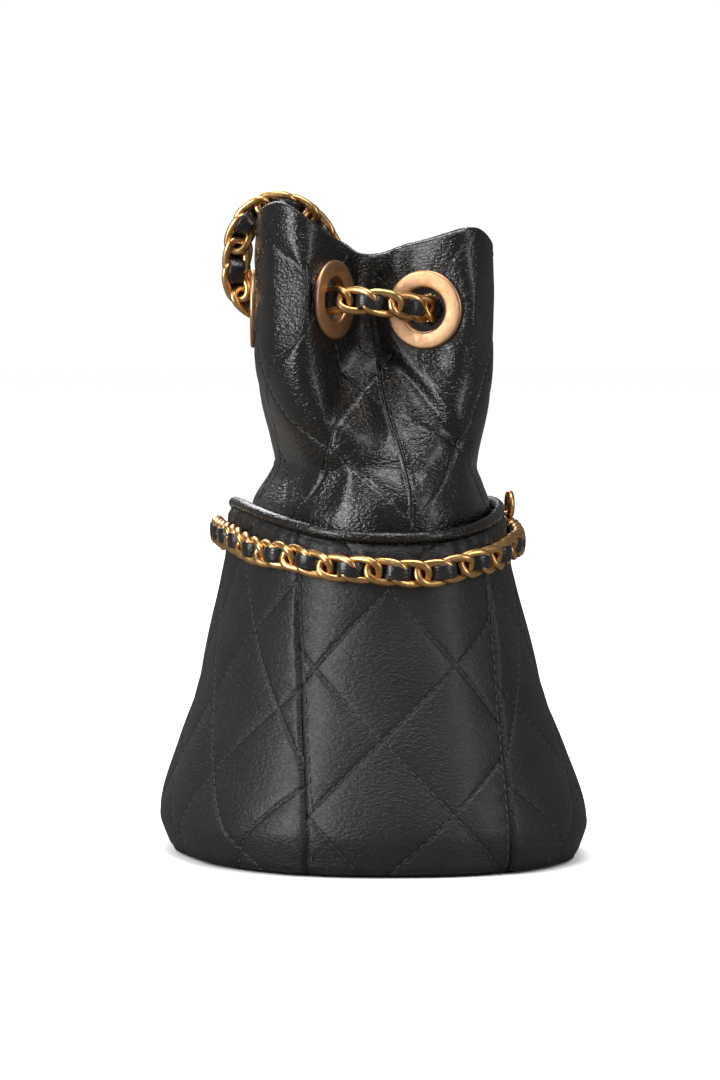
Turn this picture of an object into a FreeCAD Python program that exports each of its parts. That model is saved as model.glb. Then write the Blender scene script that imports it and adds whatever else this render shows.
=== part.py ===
import FreeCAD, Part
import Sketcher
import math
import os
from FreeCAD import Placement, Rotation, Vector

# Bucket bag in black quilted leather. +Z up, millimetres, origin on the floor under the middle.
# X runs across the width, from the near gusset (-X) to the far gusset (+X).
# Y runs through the depth, from the front (-Y) to the back (+Y).

SIZES = {
    # skirt: heights of its sections and half of its depth at each of them
    "foot_level": 3.5, "foot_depth": 60.2,
    "belly_level": 12.5, "belly_depth": 62.6,
    "lower_level": 32.0, "lower_depth": 56.5,
    "middle_level": 47.0, "middle_depth": 51.4,
    "upper_level": 63.5, "upper_depth": 47.0,
    "chest_level": 81.0, "chest_depth": 42.8,
    "top_level": 110.0, "top_depth": 38.8,
    "width_gain": 0.88, "width_extra": 34.8, "skirt_power": 2.3, "skirt_lean": 2.2,
    "skirt_wall": 3.2, "lining_wall": 0.7, "layer_gap": 0.1,
    "seam_rim": 27.7, "seam_foot": 30.5,
    "rim_level": 103.0, "rim_dip": 8.0, "rim_span": 72.0, "rim_depth": 39.6, "binding_radius": 1.7,
    "binding_gap": 0.35,
    # base
    "base_inset": 2.8, "board_thickness": 2.0, "board_long": 78.0, "board_short": 49.0,
    # neck: levels, half-width and half-depth of its round part, and the wall
    "neck_foot_level": 84.0, "band_level": 104.0, "waist_level": 118.0, "shoulder_level": 150.0,
    "mouth_level": 196.0, "band_width": 63.5, "band_depth": 34.0, "waist_width": 60.0,
    "waist_depth": 28.8, "neck_wall": 2.4, "neck_twist": 7.5, "split_share": 0.025, "split_gap": 0.3,
    "front_back_drop": 3.5, "tuck_rise": 8.0, "tuck_width": 64.5, "tuck_depth": 34.6,
    "band_shift": 0.5, "waist_shift": -1.1, "shoulder_shift": -0.6,
    "blend_start": 106.0, "untwist_start": 100.0,
    # eyelets
    "eyelet_outer": 23.2, "eyelet_hole": 13.0, "eyelet_flange": 1.1, "eyelet_barrel": 0.7,
    "eyelet_depth": 4.0, "washer_outer": 20.0, "washer_thickness": 0.8, "eyelet_seat": 0.4,
    "bore_clearance": 0.2,
    # chains
    "link_wire": 1.6, "link_round": 3.1, "link_straight": 2.1, "link_pitch": 7.2, "link_roll": 30.0,
    "lace_width": 3.4, "lace_thickness": 0.9, "lace_wave": 2.5,
    "rim_chain_drop": 7.5, "rim_chain_standoff": 2.8,
    # strap
    "strap_diameter": 6.0, "coil_outer": 49.3, "coil_inner": 24.2, "coil_height": 6.5,
    "coil_level": 6.3,
    # ring ornament on the rim, and the pocket
    "ring_radius": 3.2, "ring_wire": 1.1, "ring_level": 103.5, "ring_standoff": 3.5,
    "post_radius": 0.8, "post_apart": 1.9, "post_root": 0.6,
    "pocket_reach": 2.6, "pocket_foot": 40.0, "pocket_height": 36.0, "pocket_thickness": 0.8,
    "pocket_gap": 0.5,
}

# Outline of the drawn-in mouth, near half, from the middle of the back to the middle of the front,
# in the neck's own turned frame: across, through.
MOUTH = [(0, 33.8), (-20, 34.2), (-38, 33.6), (-52, 30.0), (-60, 22.5), (-58, 15.5), (-50.5, 11.6),
         (-42, 7.0), (-36, -1.5), (-39.5, -8.0), (-43, -15.5), (-46, -24.0), (-42, -31.5),
         (-29, -35.4), (-14, -28.6), (0, -24.0)]
# Where the same points stand on the round lower neck, as angles from the near gusset's middle.
RING_ANGLES = [90, 72, 56, 42, 30, 22, 13, 5, -4, -12, -21, -32, -45, -60, -75, -90]
# Top edge of the mouth: through, height.
TOP_EDGE = [(44, 186), (36, 189.5), (28, 193), (17, 187.5), (8, 180.8), (0, 178.5), (-14, 179.5),
            (-30, 183.5), (-38, 182.0), (-46, 181.0)]

# Strap: from the near back eyelet over the back edge and down to the coil, then from the coil
# up and over to the far back eyelet.
STRAP_NEAR = [(-15.9, 31.5, 162.5), (-14.6, 42.8, 163.5), (-14.6, 42.4, 182.0), (-15.1, 39.2, 190.0),
              (-16.1, 30.3, 194.2), (-16.5, 20.3, 190.0), (-14.4, 13.0, 178.0), (-15.0, 9.5, 150.0),
              (-24.0, 10.0, 120.0), (-34.0, 20.0, 80.0), (-38.0, 30.0, 50.0), (-37.0, 37.0, 31.0),
              (-29.0, 41.0, 18.5), (-20.0, 43.2, 14.3)]
STRAP_FAR = [(13.0, 25.0, 14.3), (24.0, 22.5, 22.0), (31.5, 20.0, 38.0), (32.5, 16.0, 66.0),
             (27.0, 11.0, 100.0), (20.0, 8.5, 130.0), (17.0, 8.0, 156.0), (17.3, 8.8, 177.0),
             (21.2, 15.4, 190.0), (23.5, 25.6, 193.8), (24.5, 34.0, 190.0), (24.8, 37.0, 182.0),
             (25.0, 37.5, 163.5), (23.7, 26.3, 162.5)]

doc = FreeCAD.newDocument("bucket_bag")
sheet = doc.addObject("Spreadsheet::Sheet", "sizes")
for row, (alias, value) in enumerate(SIZES.items(), start=1):
    sheet.set("A%d" % row, alias)
    sheet.set("B%d" % row, str(value))
    sheet.setAlias("B%d" % row, alias)
doc.recompute()

pieces = []


def size(alias):
    return float(sheet.get(alias))


def keep(thing, node):
    thing.Label = node
    pieces.append(thing)
    return thing


# ---- document helpers -------------------------------------------------------------------------

def feature(name, shape):
    thing = doc.addObject("Part::Feature", name)
    thing.Shape = shape
    return thing


def bind(thing, expressions):
    for prop, expression in expressions.items():
        thing.setExpression(prop, expression)
    return thing


def boolean(kind, name, base, tool):
    thing = doc.addObject("Part::" + kind, name)
    thing.Base = base
    thing.Tool = tool
    return thing


def compound(name, members):
    thing = doc.addObject("Part::Compound", name)
    thing.Links = members
    return thing


def loft(name, wires):
    sections = [feature("%s_section_%d" % (name, count), wire) for count, wire in enumerate(wires)]
    thing = doc.addObject("Part::Loft", name)
    thing.Sections = sections
    thing.Solid = True
    thing.Ruled = False
    return thing


def extrusion(name, wire, direction, length):
    thing = doc.addObject("Part::Extrusion", name)
    thing.Base = feature(name + "_profile", wire)
    thing.DirMode = "Custom"
    thing.Dir = direction
    thing.LengthFwd = length
    thing.Solid = True
    return thing


# ---- curves -----------------------------------------------------------------------------------

def smooth(value, start, end):
    share = min(max((value - start) / (end - start), 0.0), 1.0)
    return share * share * (3.0 - 2.0 * share)


def through(points, value):
    """A smooth value between hand-set ones: points are (place, value), in rising order."""
    count = len(points)
    index = 0
    while index < count - 2 and value > points[index + 1][0]:
        index += 1
    (place_a, value_a), (place_b, value_b) = points[index], points[index + 1]

    def slope(at):
        low, high = max(at - 1, 0), min(at + 1, count - 1)
        return (points[high][1] - points[low][1]) / (points[high][0] - points[low][0])

    span = place_b - place_a
    share = min(max((value - place_a) / span, 0.0), 1.0)
    square, cube = share ** 2, share ** 3
    return ((2 * cube - 3 * square + 1) * value_a + (cube - 2 * square + share) * span * slope(index)
            + (3 * square - 2 * cube) * value_b + (cube - square) * span * slope(index + 1))


def oval(half_width, half_depth, power, degrees):
    """A point of a superellipse."""
    angle = math.radians(degrees)
    across, along = math.cos(angle), math.sin(angle)
    return (math.copysign(half_width * abs(across) ** (2 / power), across),
            math.copysign(half_depth * abs(along) ** (2 / power), along))


def even_curve(points, closed):
    """A smooth curve through points that are one step of its parameter apart."""
    curve = Part.BSplineCurve()
    count = len(points) + 1 if closed else len(points)
    curve.interpolate(Points=points, PeriodicFlag=closed, Parameters=[float(mark) for mark in range(count)])
    return curve


def closed_wire(points):
    return Part.Wire([even_curve(points, True).toShape()])


def inset(points, distance):
    """The points of a closed flat outline moved inwards by a distance."""
    moved = []
    for index, point in enumerate(points):
        before, after = points[index - 1], points[(index + 1) % len(points)]
        along = (after - before).normalize()
        moved.append(point + Vector(-along.y, along.x, 0) * distance)
    return moved


def wall_piece(name, outline, heights, limits, layers, count=13):
    """A piece of a curved wall: closed sections from one end of the piece to the other.

    outline gives a closed list of points for a height and an inset, limits the first and last
    place on it for a height, and layers the insets of the two faces.
    """
    wires = []
    for height in heights:
        start, end = limits(height)
        faces = []
        for layer in layers:
            points = outline(height, layer)
            curve = even_curve(points, True)
            places = [start + (end - start) * step / (count - 1) for step in range(count)]
            faces.append(even_curve([curve.value(place % len(points)) for place in places], False))
        outer, inner = faces
        ends = [Part.LineSegment(outer.EndPoint, inner.EndPoint), Part.LineSegment(inner.StartPoint,
                                                                                   outer.StartPoint)]
        inner.reverse()
        wires.append(Part.Wire([outer.toShape(), ends[0].toShape(), inner.toShape(), ends[1].toShape()]))
    return loft(name, wires)


# ---- skirt ------------------------------------------------------------------------------------

SKIRT_LEVELS = ["foot", "belly", "lower", "middle", "upper", "chest", "top"]
SKIRT_PROFILE = [(size(level + "_level"), size(level + "_depth")) for level in SKIRT_LEVELS]


def skirt_sizes(height):
    half_depth = through(SKIRT_PROFILE, height)
    half_width = size("width_gain") * half_depth + size("width_extra")
    lean = size("skirt_lean") * (height - size("belly_level")) / size("rim_level")
    return half_width, half_depth, lean


def skirt_outline(height, inward, level=None):
    """Section of the skirt at a height, moved inwards; counter-clockwise."""
    half_width, half_depth, lean = skirt_sizes(height)
    points = []
    for step in range(36):
        across, along = oval(half_width, half_depth, size("skirt_power"), step * 10)
        points.append(Vector(across, along + lean, height if level is None else level))
    return inset(points, inward)


SKIRT_HEIGHTS = [height for height, depth in SKIRT_PROFILE]


def skirt_loft(name, inward, bottom, top):
    heights = [bottom] + [height for height in SKIRT_HEIGHTS if bottom + 3 < height < top - 3] + [top]
    return loft(name, [closed_wire(skirt_outline(height, inward)) for height in heights])


def rim_height(across):
    return size("rim_level") - size("rim_dip") * (across / size("rim_span")) ** 2


def under_rim(name):
    """Everything below the rim's curve, as a block to cut with."""
    reach, steps, low = 110.0, 10, -5.0
    places = [reach * step / steps for step in range(-steps, steps + 1)]
    curve = even_curve([Vector(across, -reach, rim_height(across)) for across in places], False)
    corners = [curve.EndPoint, Vector(reach, -reach, low), Vector(-reach, -reach, low), curve.StartPoint]
    wire = Part.Wire([curve.toShape()] + Part.makePolygon(corners).Edges)
    return extrusion(name, wire, Vector(0, 1, 0), 2 * reach)


def seam_place(height):
    """Where a gusset's seam stands on the skirt's outline, in steps from the gusset's middle."""
    half_depth = skirt_sizes(height)[1]
    seam = size("seam_foot") + (size("seam_rim") - size("seam_foot")) * height / size("rim_level")
    return math.degrees(math.asin((seam / half_depth) ** (size("skirt_power") / 2))) / 10


def make_skirt():
    limits = {
        "skirt_gusset_far": lambda height: (-seam_place(height), seam_place(height)),
        "skirt_back": lambda height: (seam_place(height), 18 - seam_place(height)),
        "skirt_gusset_near": lambda height: (18 - seam_place(height), 18 + seam_place(height)),
        "skirt_front": lambda height: (18 + seam_place(height), 36 - seam_place(height)),
    }
    rim = under_rim("rim_block")
    for node, ends in limits.items():
        tall = wall_piece(node + "_tall", skirt_outline, SKIRT_HEIGHTS, ends, (0, size("skirt_wall")))
        keep(boolean("Common", node + "_piece", tall, rim), node)


def rim_spot(degrees):
    """A point of the rim binding's centre line, over the middle of the skirt's wall."""
    height = rim_height(oval(size("rim_span"), size("rim_depth"), size("skirt_power"), degrees)[0])
    half_width, half_depth, lean = skirt_sizes(height)
    middle = size("skirt_wall") / 2
    across, along = oval(half_width - middle, half_depth - middle, size("skirt_power"), degrees)
    lift = size("binding_radius") + size("binding_gap")
    return Vector(across, along + lean, rim_height(across) + lift)


def make_rim_binding():
    lengths = []
    for start in (90, 270):
        path = Part.Wire([even_curve([rim_spot(start + 10 * step) for step in range(19)], False).toShape()])
        edge = path.Edges[0]
        circle = Part.Circle(edge.valueAt(edge.FirstParameter), edge.tangentAt(edge.FirstParameter),
                             size("binding_radius"))
        roll = path.makePipeShell([Part.Wire([circle.toShape()])], True, False)
        print("rim binding %.1f mm, volume %.3f of section times length"
              % (path.Length, roll.Volume / (math.pi * size("binding_radius") ** 2 * path.Length)))
        lengths.append(roll)
    keep(feature("binding", Part.makeCompound(lengths)), "rim_binding")


# ---- base -------------------------------------------------------------------------------------

def make_base():
    lower = closed_wire(skirt_outline(size("foot_level"), size("base_inset"), 0.0))
    upper = closed_wire(skirt_outline(size("foot_level"), 0.0))
    keep(loft("base", [lower, upper]), "base_panel")
    outline = doc.addObject("Part::Ellipse", "board_outline")
    bind(outline, {"MajorRadius": "sizes.board_long", "MinorRadius": "sizes.board_short",
                   "Placement.Base.z": "sizes.foot_level"})
    board = doc.addObject("Part::Extrusion", "board")
    board.Base = outline
    board.DirMode = "Custom"
    board.Dir = Vector(0, 0, 1)
    board.Solid = True
    bind(board, {"LengthFwd": "sizes.board_thickness"})
    keep(board, "base_board")


# ---- lining and pocket ------------------------------------------------------------------------

def make_lining():
    outside = size("skirt_wall") + size("layer_gap")
    inside = outside + size("lining_wall")
    floor = size("foot_level") + size("board_thickness")
    rim = size("neck_foot_level")
    keep(boolean("Cut", "pouch", skirt_loft("pouch_out", outside, floor, rim),
                 skirt_loft("pouch_in", inside, floor + size("lining_wall"), rim)), "lining")
    face = inside + size("pocket_gap")
    foot, reach = size("pocket_foot"), size("pocket_reach")
    heights = [foot, foot + size("pocket_height") / 2, foot + size("pocket_height")]
    keep(wall_piece("pocket", skirt_outline, heights, lambda height: (9 - reach, 9 + reach),
                    (face, face + size("pocket_thickness"))), "slip_pocket")


# ---- neck -------------------------------------------------------------------------------------

def neck_turn():
    return Rotation(Vector(0, 0, 1), -size("neck_twist"))


def ring_sizes(height):
    """Half-width, half-depth and shift of the neck's round part at a height."""
    foot, band, waist = size("neck_foot_level"), size("band_level"), size("waist_level")
    skirt_width, skirt_depth, lean = skirt_sizes(foot)
    layers = size("skirt_wall") + size("lining_wall") + 2 * size("layer_gap")
    tuck, shoulder = foot + size("tuck_rise"), size("shoulder_level")
    widths = [(foot, skirt_width - layers), (tuck, size("tuck_width")), (band, size("band_width")),
              (waist, size("waist_width")), (shoulder, size("waist_width"))]
    depths = [(foot, skirt_depth - layers), (tuck, size("tuck_depth")), (band, size("band_depth")),
              (waist, size("waist_depth")), (shoulder, size("band_depth"))]
    shifts = [(foot, lean), (band, size("band_shift")), (waist, size("waist_shift")),
              (shoulder, size("shoulder_shift"))]
    return through(widths, height), through(depths, height), through(shifts, height)


def neck_outline(height, inward):
    """Section of the neck: round at the rim, drawn in and folded at the mouth."""
    half_width, half_depth, shift = ring_sizes(height)
    share = smooth(height, size("blend_start"), size("shoulder_level"))
    turned = smooth(height, size("untwist_start"), size("shoulder_level"))
    untwist = Rotation(Vector(0, 0, 1), -size("neck_twist") * turned)
    near = []
    for (across, along), angle in zip(MOUTH, RING_ANGLES):
        ring_across, ring_along = oval(half_width, half_depth, size("skirt_power"), angle)
        near.append(((share - 1) * ring_across + share * across,
                     (1 - share) * (ring_along + shift) + share * along))
    far = [(-across, along) for across, along in near[-2:0:-1]]
    points = [untwist.multVec(Vector(across, along, 0)) + Vector(0, 0, height)
              for across, along in near + far]
    return inset(points, inward)


# Heights of the sections of the tucked-in band and of the panels above it.
BAND_HEIGHTS = [size("neck_foot_level"), 88, 94, size("band_level")]
PANEL_HEIGHTS = [111, size("waist_level"), 126, 136, size("shoulder_level"), 165, 180,
                 size("mouth_level")]


def below_edge(name, drop):
    """Everything below the mouth's wavy top edge, as a block in the neck's turned frame."""
    turn = neck_turn()
    reach, low = 90.0, 90.0

    def corner(along, height):
        return turn.multVec(Vector(-reach, along, height - drop))

    curve = Part.BSplineCurve()
    curve.interpolate([corner(*point) for point in TOP_EDGE])
    first, last = TOP_EDGE[0][0], TOP_EDGE[-1][0]
    corners = [corner(*TOP_EDGE[-1]), corner(last, low), corner(first, low), corner(*TOP_EDGE[0])]
    wire = Part.Wire([curve.toShape()] + Part.makePolygon(corners).Edges)
    return extrusion(name, wire, turn.multVec(Vector(1, 0, 0)), 2 * reach)


# Each neck panel: the first and last point of the mouth's outline that bound it, counted round
# from the middle of the back, and whether it moves. The two gusset lobes move, so they stand
# clear of the other two panels and of the band; the edge of those two panels is a little lower.
NECK_PANELS = {
    "gusset_near": (2.0, 12.0, True),
    "front": (12.0, 18.0, False),
    "gusset_far": (18.0, 28.0, True),
    "back": (28.0, 32.0, False),
}


def make_neck(eyelets):
    wall, gap, slit = size("neck_wall"), size("layer_gap"), size("split_share")
    cloth = (wall + gap, wall + gap + size("lining_wall"))
    keep(boolean("Cut", "band", band_loft("band_out", 0), band_loft("band_in", wall)), "neck_band")
    low_edge, high_edge = below_edge("edge_low", size("front_back_drop")), below_edge("edge_high", 0)
    for side, (first, last, moves) in NECK_PANELS.items():
        ends = (first + slit, last - slit) if moves else (first, last)
        foot = size("band_level") + (size("split_gap") if moves else 0)
        heights = [foot] + PANEL_HEIGHTS
        edge = high_edge if moves else low_edge
        holes = compound("holes_" + side, [eyelet_bore(name) for name in eyelets if EYELETS[name][0] == side])
        for layer, faces in (("neck_", (0, wall)), ("neck_lining_", cloth)):
            tall = wall_piece(layer + side + "_tall", neck_outline, heights, lambda height: ends, faces, 31)
            trimmed = boolean("Common", layer + side + "_edge", tall, edge)
            keep(boolean("Cut", layer + side + "_holes", trimmed, holes), layer + side)


def band_loft(name, inward):
    return loft(name, [closed_wire(neck_outline(height, inward)) for height in BAND_HEIGHTS])


# ---- eyelets ----------------------------------------------------------------------------------

# Each eyelet: the neck panel it is set in, its place in the neck's frame (across, through),
# its height and the direction it faces there, in degrees from straight out of the near gusset
# towards the back.
EYELETS = {
    "eyelet_gusset_near_back": ("gusset_near", -50.5, 11.6, 165.5, -61.0),
    "eyelet_gusset_near_front": ("gusset_near", -43.0, -15.5, 162.5, 21.0),
    "eyelet_back_near": ("back", -20.0, 34.4, 162.5, 90.0),
    "eyelet_back_far": ("back", 20.0, 34.4, 162.5, 90.0),
    "eyelet_front_near": ("front", -13.5, -28.4, 162.5, -112.0),
    "eyelet_front_far": ("front", 13.5, -28.4, 162.5, -68.0),
    "eyelet_gusset_far_front": ("gusset_far", 43.0, -15.5, 162.5, 159.0),
    "eyelet_gusset_far_back": ("gusset_far", 50.5, 11.6, 165.5, -119.0),
}


def eyelet_placement(name):
    """Middle of the flange's back face, with the eyelet's axis as the local Z."""
    side, across, along, height, facing = EYELETS[name]
    angle = math.radians(facing)
    outward = neck_turn().multVec(Vector(-math.cos(angle), math.sin(angle), 0))
    centre = neck_turn().multVec(Vector(across, along, height))
    return Placement(centre + outward * size("eyelet_seat"), Rotation(Vector(0, 0, 1), outward))


def eyelet_bore(name):
    """What an eyelet takes out of the leather: its barrel, and flat seats for flange and washer."""
    frame = eyelet_placement(name)
    back = size("eyelet_depth") - size("washer_thickness") - size("eyelet_flange")

    def disc(radius, start, length):
        return Part.makeCylinder(radius, length, Vector(0, 0, start))

    clear, reach = size("bore_clearance"), 9
    tool = disc(size("eyelet_hole") / 2 + size("eyelet_barrel") + clear, -reach, 2 * reach)
    tool = tool.fuse(disc(size("eyelet_outer") / 2 + clear, -clear, reach))
    tool = tool.fuse(disc(size("washer_outer") / 2 + clear, -back - reach, reach + clear))
    bore = feature("bore_" + name, tool)
    bore.Placement = frame
    return bore


def ring_sketch(body, corners):
    """A closed profile on the XZ plane; every corner is held by two bound distances."""
    plane = [item for item in body.Origin.OriginFeatures if item.Role == "XZ_Plane"][0]
    sketch = body.newObject("Sketcher::SketchObject", "profile")
    sketch.AttachmentSupport = [(plane, "")]
    sketch.MapMode = "FlatFace"
    spots = [Vector(*[float(sheet.evalExpression(text)) for text in pair]) for pair in corners]
    count = len(spots)
    for index in range(count):
        sketch.addGeometry(Part.LineSegment(spots[index], spots[(index + 1) % count]))
    for index in range(count):
        sketch.addConstraint(Sketcher.Constraint("Coincident", index, 2, (index + 1) % count, 1))
    for index, pair in enumerate(corners):
        for kind, text, place in (("DistanceX", pair[0], spots[index].x), ("DistanceY", pair[1], spots[index].y)):
            number = sketch.addConstraint(Sketcher.Constraint(kind, -1, 1, index, 1, place))
            sketch.setExpression("Constraints[%d]" % number, text)
    return sketch


def make_eyelet(name):
    body = doc.addObject("PartDesign::Body", name)
    hole, outer = "sizes.eyelet_hole / 2", "sizes.eyelet_outer / 2"
    top, seat = "sizes.eyelet_depth", "sizes.eyelet_depth - sizes.eyelet_flange"
    corners = [(hole, "0.01"), (hole + " + sizes.eyelet_barrel", "0.01"),
               (hole + " + sizes.eyelet_barrel", seat), (outer, seat),
               (outer, top + " - 0.4"), (outer + " - 0.6", top), (hole + " + 0.4", top), (hole, top + " - 0.4")]
    sketch = ring_sketch(body, corners)
    ring = body.newObject("PartDesign::Revolution", "ring")
    ring.Profile = sketch
    ring.ReferenceAxis = (sketch, ["V_Axis"])
    ring.Angle = 360
    frame = eyelet_placement(name)
    depth = size("eyelet_depth") - size("eyelet_flange")
    body.Placement = frame.multiply(Placement(Vector(0, 0, -depth), Rotation()))
    keep(body, name)


def make_washer(name):
    disc = doc.addObject("Part::Cylinder", "disc_" + name)
    bind(disc, {"Radius": "sizes.washer_outer / 2", "Height": "sizes.washer_thickness"})
    bore = doc.addObject("Part::Cylinder", "washer_hole_" + name)
    bind(bore, {"Radius": "sizes.eyelet_hole / 2 + sizes.eyelet_barrel", "Height": "3 * sizes.washer_thickness"})
    depth = size("eyelet_depth") - size("eyelet_flange")
    frame = eyelet_placement(name)
    disc.Placement = frame.multiply(Placement(Vector(0, 0, -depth), Rotation()))
    bore.Placement = frame.multiply(Placement(Vector(0, 0, -depth - size("washer_thickness")), Rotation()))
    return boolean("Cut", "washer_" + name, disc, bore)


def make_eyelets():
    washers = {}
    for name, (side, *rest) in EYELETS.items():
        make_eyelet(name)
        group = side if side.startswith("gusset") else "front_and_back"
        washers.setdefault(group, []).append(make_washer(name))
    for group, members in washers.items():
        keep(compound("washers_" + group, members), "eyelet_washers_" + group)


# ---- chains -----------------------------------------------------------------------------------

def link_shape():
    """One link: a round wire bent into a stadium, along X, lying in the XY plane."""
    half, radius, wire = size("link_straight"), size("link_round"), size("link_wire") / 2
    corners = [Vector(-half, -radius, 0), Vector(half, -radius, 0), Vector(half, radius, 0),
               Vector(-half, radius, 0)]
    path = Part.Wire([Part.LineSegment(corners[0], corners[1]).toShape(),
                      Part.Arc(corners[1], Vector(half + radius, 0, 0), corners[2]).toShape(),
                      Part.LineSegment(corners[2], corners[3]).toShape(),
                      Part.Arc(corners[3], Vector(-half - radius, 0, 0), corners[0]).toShape()])
    section = Part.Wire([Part.Circle(corners[0], Vector(1, 0, 0), wire).toShape()])
    return path.makePipeShell([section], True, False)


def evenly(points, count, closed):
    """Points at even distances along a line of many points."""
    line = points + points[:1] if closed else points
    marks = [0.0]
    for before, after in zip(line, line[1:]):
        marks.append(marks[-1] + before.distanceToPoint(after))
    wanted = [marks[-1] * index / (count if closed else count - 1) for index in range(count)]
    found, index = [], 0
    for mark in wanted:
        while index < len(marks) - 2 and marks[index + 1] < mark:
            index += 1
        share = (mark - marks[index]) / (marks[index + 1] - marks[index])
        found.append(line[index] + (line[index + 1] - line[index]) * share)
    return found, marks[-1]


def frames_along(points, closed, outward):
    """Origin, direction, width and outward axis at each point of a line."""
    frames = []
    count = len(points)
    for index, point in enumerate(points):
        before = points[index - 1] if closed or index else point
        after = points[(index + 1) % count] if closed or index < count - 1 else point
        along = (after - before).normalize()
        out = outward(point)
        out = (out - along * out.dot(along)).normalize()
        frames.append((point, along, out.cross(along), out))
    return frames


def chain_links(points, closed, outward):
    """Links one pitch apart, rolled to one side and the other in turn."""
    master = link_shape()
    links = []
    for index, (point, along, width, out) in enumerate(frames_along(points, closed, outward)):
        roll = math.radians(size("link_roll") * (1 if index % 2 else -1))
        side = width * math.cos(roll) + out * math.sin(roll)
        turn = Rotation(along, side, Vector(), "XYZ")
        link = master.copy()
        link.Placement = Placement(point, turn)
        links.append(link)
    return Part.makeCompound(links)


def faceted_band(sections):
    """A closed solid through four-cornered sections, in flat triangles."""
    triangles = []

    def add(*corners):
        triangles.append(Part.Face(Part.makePolygon(list(corners) + [corners[0]])))

    for before, after in zip(sections, sections[1:]):
        for index in range(4):
            other = (index + 1) % 4
            add(before[index], before[other], after[other])
            add(before[index], after[other], after[index])
    for corners in (sections[0], sections[-1]):
        add(corners[0], corners[1], corners[2])
        add(corners[0], corners[2], corners[3])
    solid = Part.makeSolid(Part.makeShell(triangles))
    if solid.Volume < 0:
        solid.reverse()
    return solid


def chain_lace(points, outward, steps=4):
    """Flat lace that passes over one crossing of the links and under the next."""
    count = (len(points) - 1) * steps + 1
    spots = evenly(points, count, False)[0]
    sections = []
    for index, (point, along, width, out) in enumerate(frames_along(spots, False, outward)):
        wave = size("lace_wave") * math.cos(math.pi * index / steps)
        middle = point + out * wave
        side, up = width * (size("lace_width") / 2), out * (size("lace_thickness") / 2)
        sections.append([middle - side - up, middle + side - up, middle + side + up, middle - side + up])
    return faceted_band(sections)


def rim_chain_line():
    points = []
    for step in range(720):
        angle = step / 2 - 90.25
        across, along = oval(size("rim_span"), size("chest_depth"), size("skirt_power"), angle)
        height = rim_height(across) - size("rim_chain_drop")
        half_width, half_depth, lean = skirt_sizes(height)
        stand = size("rim_chain_standoff")
        across, along = oval(half_width + stand, half_depth + stand, size("skirt_power"), angle)
        points.append(Vector(across, along + lean, height))
    return points


def out_of_bag(point):
    return Vector(point.x / size("rim_span") ** 2, point.y / size("chest_depth") ** 2, 0)


def make_rim_chain():
    line = rim_chain_line()
    length = evenly(line, 2, True)[1]
    count = 2 * round(length / size("link_pitch") / 2)
    points = evenly(line, count, True)[0]
    keep(feature("rim_links", chain_links(points, True, out_of_bag)), "rim_chain_links")
    lace_points = evenly(line + line[:1], count + 1, False)[0]
    middles = [(before + after) * 0.5 for before, after in zip(lace_points, lace_points[1:])]
    keep(feature("rim_lace", chain_lace(middles, out_of_bag)), "rim_chain_lace")


def drawstring_line(stops):
    """A hand-set line in the neck's turned frame, rounded with a curve."""
    turn = neck_turn()
    curve = Part.BSplineCurve()
    curve.interpolate([turn.multVec(Vector(*stop)) for stop in stops])
    return [curve.value(curve.FirstParameter + (curve.LastParameter - curve.FirstParameter) * step / 400)
            for step in range(401)]


# Runs of the drawstring chain in the neck's turned frame: across, through, height. Each run ends
# short of the neighbouring body, so the two halves of the mouth can open.
NEAR_STOPS = [(-38.0, 22.0, 163.5), (-45.0, 18.0, 164.5), (-51.5, 10.5, 165.5), (-56.0, 1.0, 165.0),
              (-52.0, -10.5, 163.5), (-43.0, -16.0, 162.5), (-37.0, -20.5, 162.5)]
FRONT_HALF = [(-20.5, -21.5, 162.5), (-17.5, -25.0, 162.5), (-13.5, -28.8, 162.5), (-8.0, -31.4, 162.0)]
FRONT_MIDDLE = (0.0, -31.2, 161.5)


def mirrored(stops):
    return [(-across, along, height) for across, along, height in stops[::-1]]


DRAWSTRING = {
    "gusset_near": NEAR_STOPS,
    "front": FRONT_HALF + [FRONT_MIDDLE] + mirrored(FRONT_HALF),
    "gusset_far": mirrored(NEAR_STOPS),
}


def make_drawstring():
    for side, stops in DRAWSTRING.items():
        line = drawstring_line(stops)
        length = evenly(line, 2, False)[1]
        count = int(length / size("link_pitch")) + 1

        def outward(point):
            return Vector(point.x / 60 ** 2, point.y / 35 ** 2, 0)

        points = evenly(line, count, False)[0]
        keep(feature("links_" + side, chain_links(points, False, outward)), "drawstring_links_" + side)
        middles = [(before + after) * 0.5 for before, after in zip(points, points[1:])]
        keep(feature("lace_" + side, chain_lace(middles, outward)), "drawstring_lace_" + side)


# ---- strap ------------------------------------------------------------------------------------

def rounded_path(route):
    """Straight runs joined by tangent arcs, each as large as its two runs allow."""
    spots = [Vector(*spot) for spot in route]
    edges, start, radii = [], spots[0], []
    for before, corner, after in zip(spots, spots[1:], spots[2:]):
        run_in, run_out = corner - before, after - corner
        turn = run_in.getAngle(run_out)
        cut = 0.45 * min(run_in.Length, run_out.Length)
        radius = cut / math.tan(turn / 2)
        radii.append(radius)
        enter = corner - run_in.normalize() * cut
        leave = corner + run_out.normalize() * cut
        chord_middle = (enter + leave) * 0.5
        toward = (chord_middle - corner).normalize()
        apex = corner + toward * (radius / math.cos(turn / 2) - radius)
        edges.append(Part.LineSegment(start, enter).toShape())
        edges.append(Part.Arc(enter, apex, leave).toShape())
        start = leave
    edges.append(Part.LineSegment(start, spots[-1]).toShape())
    return Part.Wire(edges), radii


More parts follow.
